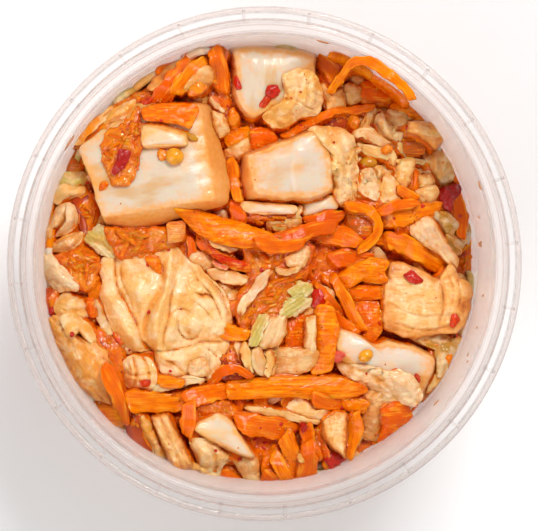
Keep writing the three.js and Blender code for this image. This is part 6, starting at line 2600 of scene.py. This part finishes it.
@dataclass
class Crumbs:
    """Lumps of pulp and bits of chilli in the hollows, and specks that stick to the stems."""

    lumps: int = 420
    chilli: int = 50
    specks: int = 60
    hollow: float = 0.3
    reach: float = 50.0
    tries: int = 40000
    seed: int = 11

    def places(
        self, draw: np.random.Generator, pile: Pile, count: int, slots: tuple[str, ...], hollow: float
    ) -> Array:
        """Random places that show one of some slots and lie lower than what is round them.

        Args:
            draw: The random numbers.
            pile: The whole pile.
            count: How many places are wanted.
            slots: The slots that may show there.
            hollow: How much lower they lie at least.

        Returns:
            The x and y of each place.
        """
        angle = draw.uniform(0, 2 * math.pi, self.tries)
        radius = self.reach * np.sqrt(draw.uniform(0, 1, self.tries))
        x, y = radius * np.cos(angle), radius * np.sin(angle)
        around = sum(pile.sample(x + 2 * math.cos(a), y + 2 * math.sin(a)) for a in range(6)) / 6
        fits = np.isin(pile.skins(x, y), slots) & (around - pile.sample(x, y) > hollow)
        return np.stack([x[fits], y[fits]], -1)[:count]

    def scatter(
        self, draw: np.random.Generator, pile: Pile, places: Array, size: Pair, flat: float
    ) -> Shape:
        """One lump on each place, all in one shape.

        Args:
            draw: The random numbers.
            pile: The whole pile.
            places: The x and y of each place.
            size: Least and most half-width of a lump.
            flat: Height of a lump for its width.

        Returns:
            The lumps' shape, in millimetres.
        """
        ball, faces = BLANKS.ball(2)
        count, around = len(places), len(ball)
        big = draw.uniform(*size, (count, 1, 1)) * draw.uniform(0.55, 1.0, (count, 1, 3))
        big[:, :, 2] *= flat
        lumps = 1 + draw.uniform(-0.2, 0.2, (count, around, 1))
        local = ball[None] * big * lumps
        floor = pile.sample(places[:, 0], places[:, 1])
        centre = np.stack([places[:, 0], places[:, 1], floor + big[:, 0, 2] * 0.3], -1)
        points = (local + centre[:, None]).reshape(-1, 3)
        every = [tuple(i + k * around for i in face) for k in range(count) for face in faces]
        shape = Shape(points, every, points * MM, Tone.RED)
        shape.stain = np.repeat(draw.uniform(-0.2, 0.75, count), around)
        return shape

    def build(self, pile: Pile) -> None:
        """Scatters everything.

        Args:
            pile: The whole pile.
        """
        draw = np.random.default_rng(self.seed)
        wet = ("pulp", "carrot")
        lumps = self.places(draw, pile, self.lumps, wet, self.hollow)
        make_object("pulp_lumps", [self.scatter(draw, pile, lumps, (0.2, 0.5), 0.5)], BITS, (HEAP,))
        chilli = self.places(draw, pile, self.chilli, (*wet, "cabbage_leaf"), 0.0)
        make_object("chilli_bits", [self.scatter(draw, pile, chilli, (0.3, 0.75), 0.4)], CHILLI, (HEAP,))
        specks = self.places(draw, pile, self.specks, ("cabbage_stem", "cabbage_leaf"), -9.0)
        make_object("stem_specks", [self.scatter(draw, pile, specks, (0.12, 0.3), 0.5)], BITS, (HEAP,))


@dataclass
class Pressed:
    """Pieces that lie flat against the clear wall and floor, just into the plastic, and smears."""

    wall_count: int = 420
    floor_count: int = 110
    seed: int = 23
    depth: Pair = (0.14, 0.34)
    edge_drop: float = 0.9
    inward: float = 1.3
    inset: float = 1.5
    probe: float = 49.0
    smear_bulge: float = 0.22
    smear_depth: float = 0.05
    smear_seed: int = 900

    # Angle in degrees, height, length, width and turn of each smear.
    SMEARS = read_points(
        "148,64.2,4,1.6,10 75,64.4,3,1.4,0 20,63.6,2.4,1.6,20 5.4,50,1.4,3.4,5 -39,54.6,2.6,0.9,50 "
        "-8,55,0.7,0.9,0 -17,56,0.8,0.8,0 -24,57,0.9,0.7,0 -26,60,0.6,0.6,0 12,53,0.8,1.1,0"
    )
    # Finish, tones, lengths, widths and share of each kind.
    KINDS = (
        (PRESSED_CARROT, (Tone.CARROT, Tone.AMBER, Tone.AMBER), (7, 17), (2, 4.4), 0.44),
        (PRESSED_STEM, (Tone.WHITE, Tone.CREAM, Tone.WHITE, Tone.PEACH), (6, 17), (4, 10), 0.26),
        (PRESSED_LEAF, (Tone.CREAM, Tone.BUTTER, Tone.CREAM, Tone.GREEN), (8, 19), (5, 11), 0.22),
        (CHILLI, (Tone.RED, Tone.VERMILION), (1.6, 3.2), (1.2, 2.4), 0.05),
        (SEED, (Tone.GOLD, Tone.MUSTARD), (3, 3.8), (2.8, 3.4), 0.03),
    )

    def patch(self, length: float, width: float, turn: float, number: int) -> tuple[Array, ...]:
        """A flat patch.

        Args:
            length: Its length.
            width: Its width.
            turn: Its turn in radians.
            number: Random seed.

        Returns:
            Each point's place along and across, how near it is to the rim and which side it is on,
            then the faces and the places before the turn.
        """
        columns, rows = max(4, round(length / 1.0)), max(4, round(width / 0.8))
        blank, faces = BLANKS.slab(columns, rows, 2)
        u, v = blank[:, 0], blank[:, 1]
        x = u * (1 - 0.16 * v * v) * length / 2
        y = v * (1 - 0.2 * u * u) * width / 2 + 0.12 * width * waves(u * 1.3, v * 0 + 0.5, number, 2)
        x = x + 0.7 * waves(x / 2.5, y / 2.5, number + 3, 2) * 0.6
        y = y + 0.7 * waves(x / 2.5, y / 2.5, number + 5, 2) * 0.6
        c, s = math.cos(turn), math.sin(turn)
        rim = np.maximum(np.abs(u), np.abs(v))
        return x * c - y * s, x * s + y * c, rim, blank[:, 2], faces, np.stack([x, y], -1)

    def on_wall(
        self, angle: float, height: float, patch: tuple, outer: Array, inner: Array, tone: Tone
    ) -> Shape:
        """Wraps a patch round the wall between two depths past its inner face.

        Args:
            angle: Where it lies round the wall, in radians.
            height: Height of its middle.
            patch: The flat patch.
            outer: How far past the wall's inner face its outer side lies.
            inner: The same for its inner side.
            tone: Its colour.

        Returns:
            The patch's shape, in millimetres.
        """
        along, up, _, level, faces, flat = patch
        z = height + up
        around = wall_radius(z)
        radius = around + np.where(level > 0.5, outer, inner)
        turn = angle + along / around.mean()
        points = np.stack([radius * np.cos(turn), radius * np.sin(turn), z], -1)
        return Shape(points, faces, np.column_stack([flat, z * 0]) * MM, tone)

    def build(self, pile: Pile) -> None:
        """Lays the pieces against the wall and the floor, and the smears.

        Args:
            pile: The whole pile.
        """
        draw = np.random.default_rng(self.seed)
        shares = np.cumsum([kind[4] for kind in self.KINDS])
        groups: dict[str, list[Shape]] = {}
        for number in range(self.wall_count + self.floor_count):
            kind = int(np.searchsorted(shares, draw.uniform() * shares[-1]))
            finish, tones, lengths, widths, _ = self.KINDS[kind]
            length, width = draw.uniform(*lengths), draw.uniform(*widths)
            tone = tones[int(draw.integers(len(tones)))]
            depth = draw.uniform(*self.depth)
            turn = draw.uniform(-0.9, 0.9)
            patch = self.patch(length, width, turn, number)
            rim = patch[2]
            push = depth - self.edge_drop * rim**5
            if number < self.wall_count:
                angle = draw.uniform(0, 2 * math.pi)
                near = self.probe * np.array([[math.cos(angle)], [math.sin(angle)]])
                ceiling = float(pile.sample(*near)[0])
                half = (length * abs(math.sin(turn)) + width * abs(math.cos(turn))) / 2
                lowest = FLOOR + self.inset + half
                height = draw.uniform(lowest, max(ceiling - half, lowest + self.inset))
                shape = self.on_wall(angle, height, patch, push, push - self.inward, tone)
            else:
                spot = (wall_radius(FLOOR) - self.inset - length / 2) * math.sqrt(draw.uniform())
                way = draw.uniform(0, 2 * math.pi)
                x, y = spot * math.cos(way) + patch[0], spot * math.sin(way) + patch[1]
                z = FLOOR - np.where(patch[3] > 0.5, push - self.inward, push)
                grain = np.column_stack([patch[5], z * 0]) * MM
                shape = Shape(np.stack([x, y, z], -1), patch[4], grain, tone)
            shape.stain = 0.15 + 0.3 * rim**4 + 0.25 * waves(patch[0] / 3, patch[1] / 3, number, 2)
            groups.setdefault(finish.name, []).append(shape)
        finishes = {kind[0].name: kind[0] for kind in self.KINDS}
        for name, shapes in groups.items():
            make_object(f"pressed_{name}", shapes, finishes[name], (HEAP,))
        films = []
        for number, (degrees, height, length, width, turn) in enumerate(self.SMEARS, self.smear_seed):
            patch = self.patch(length, width, math.radians(turn), number)
            bulge = -self.smear_bulge * (1 - patch[2] ** 3)
            outer = np.full(len(bulge), self.smear_depth)
            films.append(self.on_wall(math.radians(degrees), height, patch, outer, bulge, Tone.RUST))
        make_object("smears", films, FILM, (HEAP,))


@dataclass
class Heap:
    """All the pieces, laid on the core one after another."""

    core: Core = field(default_factory=Core)
    pile: Pile = field(default_factory=Pile)
    into_wall: float = 0.15
    # The close and wide shelter and the creases set the stain, which paints brine and shade together.
    near_share: float = 0.64
    wide_share: float = 0.38
    crease_share: float = 0.5
    most_stain: float = 1.3

    def pieces(self) -> list[Piece]:
        """Every piece from the bottom of the pile to its top.

        Returns:
            The pieces, in the order in which they are laid.
        """
        groups = (
            under_everything, upper_left, upper_right, right, left,
            large_stems, middle, crumpled_leaf, bottom, on_the_slab,
        )
        return Filler().pieces() + [piece for group in groups for piece in group()]

    def soak_and_shade(self, shape: Shape) -> None:
        """Works out how much brine each point of a shape holds, and how much painted shade it gets, from
        how sheltered it lies.

        Args:
            shape: The shape, whose stain is replaced.
        """
        x, y, z = shape.points.T
        near = self.pile.shelter(x, y, z, 0.7, 0.7)
        wide = self.pile.shelter(x, y, z, 2.2, 2.5)
        crease = 0 if shape.stain is None else self.crease_share * shape.stain
        shape.stain = np.clip(self.near_share * near + self.wide_share * wide + crease, 0, self.most_stain)

    def build(self) -> None:
        """Lays the pieces, soaks them, paints their shade and makes their objects."""
        self.core.start(self.pile)
        groups: dict[tuple[str, str], list[Shape]] = {}
        finishes: dict[str, Finish] = {}
        number = 0
        for layer in (self.pieces, lambda: Filler().mush(self.pile)):
            for piece in layer():
                if not piece.seed:
                    number += 1
                    piece.seed = number
                shape = piece.shape(self.pile)
                shape.points = keep_in(shape.points, self.into_wall)
                self.pile.add(shape, piece.finish.slot)
                groups.setdefault((piece.node, piece.finish.name), []).append(shape)
                finishes[piece.finish.name] = piece.finish
        base = self.core.build(self.pile)
        x, y, z = base.points.T
        # The pulp darkens where it lies sheltered between the pieces: painted shade. Against the wall and
        # the floor it gets a light noise instead.
        near, wide = self.pile.shelter(x, y, z, 1.2, 1.8), self.pile.shelter(x, y, z, 3, 4)
        base.stain = np.clip(0.6 * near + 0.45 * wide, 0, 1.2)
        side = np.clip((np.hypot(x, y) - wall_radius(z) + 1.5) / 1.5, 0, 1) + (z < FLOOR + 1)
        base.stain = np.where(side > 0.3, 0.22 + 0.3 * waves(x / 5 + y / 4, z / 3, 3, 3), base.stain)
        make_object("pulp_and_brine", [base], PULP, (HEAP,))
        for (node, finish), shapes in groups.items():
            for shape in shapes:
                self.soak_and_shade(shape)
            points = np.concatenate([s.points for s in shapes])
            make_object(f"{node}_{finish}", shapes, finishes[finish], (node,))
            if node != HEAP:
                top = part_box(node)[1].z / MM
                LOG.info("   %s top %.1f, CAD %.1f", node, points[:, 2].max(), top)
        Crumbs().build(self.pile)
        Pressed().build(self.pile)


# ---- Studio ----


@dataclass
class Studio:
    """A white floor, soft light and a camera straight above the tub."""

    camera_height: float = 566.0
    camera_x: float = 1.05
    camera_y: float = -0.41
    lens: float = 147.0
    sensor: float = 36.0
    floor_size: float = 3000.0
    key_power: float = 3.7
    key_size: float = 240.0
    key_place: Triple = (190, 370, 660)
    glint_share: float = 0.08
    glint_size: float = 60.0
    glint_place: Triple = (60, 330, 640)
    fill_share: float = 0.68
    fill_size: float = 500.0
    fill_place: Triple = (-380, -380, 600)
    aim: Triple = (0, 0, 50)
    horizon: float = 0.95
    zenith: float = 0.14
    floor_dark: float = 0.93
    floor_light: float = 0.96

    def lamp(self, name: str, place: Triple, size: float, power: float) -> None:
        """A square soft light that faces the tub.

        Args:
            name: The light's name.
            place: Where it stands.
            size: Length of its side.
            power: Its power in watts.
        """
        light = bpy.data.lights.new(name, "AREA")
        light.size = size * MM
        light.energy = power
        lamp = bpy.data.objects.new(name, light)
        lamp.location = Vector(place) * MM
        way = Vector(self.aim) * MM - lamp.location
        lamp.rotation_euler = way.to_track_quat("-Z", "Y").to_euler()
        bpy.context.scene.collection.objects.link(lamp)

    def floor(self) -> None:
        """The white floor."""
        deselect()
        bpy.ops.mesh.primitive_plane_add(size=self.floor_size * MM, location=(0, 0, 0))
        ground = bpy.context.object
        ground.name = "floor"
        shader = Shader("white_floor")
        tint = shader.noise(shader.place, 60.0, 2.0)
        dark, light = ((grey, grey, grey, 1) for grey in (self.floor_dark, self.floor_light))
        colour = shader.mix(tint, dark, light)
        ground.data.materials.append(shader.finish(Base_Color=colour, Roughness=0.9))

    def build(self) -> None:
        """Sets up the floor, lights, camera and the view's colours."""
        self.floor()
        self.lamp("key", self.key_place, self.key_size, self.key_power)
        self.lamp("glint", self.glint_place, self.glint_size, self.key_power * self.glint_share)
        self.lamp("fill", self.fill_place, self.fill_size, self.key_power * self.fill_share)
        world = bpy.data.worlds.new("white_room")
        world.use_nodes = True
        nodes, links = world.node_tree.nodes, world.node_tree.links
        direction = nodes.new("ShaderNodeTexCoord").outputs["Generated"]
        parts = nodes.new("ShaderNodeSeparateXYZ")
        fade = nodes.new("ShaderNodeMapRange")
        links.new(direction, parts.inputs[0])
        links.new(parts.outputs["Z"], fade.inputs["Value"])
        for socket, value in zip(SPAN_SOCKETS, (0.1, 0.9, self.horizon, self.zenith)):
            fade.inputs[socket].default_value = value
        links.new(fade.outputs["Result"], nodes["Background"].inputs["Strength"])
        nodes["Background"].inputs["Color"].default_value = (1, 1, 1, 1)
        bpy.context.scene.world = world
        camera = bpy.data.cameras.new("camera")
        camera.lens = self.lens
        camera.sensor_width = self.sensor
        camera.clip_end = 10
        holder = bpy.data.objects.new("camera", camera)
        holder.location = (self.camera_x * MM, self.camera_y * MM, self.camera_height * MM)
        bpy.context.scene.collection.objects.link(holder)
        scene = bpy.context.scene
        scene.camera = holder
        scene.view_settings.view_transform = "Standard"
        scene.view_settings.look = "None"
        scene.cycles.use_denoising = True
        scene.cycles.max_bounces = 14
        scene.cycles.transmission_bounces = 12
        scene.cycles.transparent_max_bounces = 16
        scene.cycles.caustics_refractive = True
        scene.cycles.caustics_reflective = False


def main() -> None:
    """Builds the tub, what is in it, and the studio."""
    logging.basicConfig(level=logging.INFO, format="%(message)s")
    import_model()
    Tub().build()
    Heap().build()
    Studio().build()


if __name__ == "__main__":
    main()
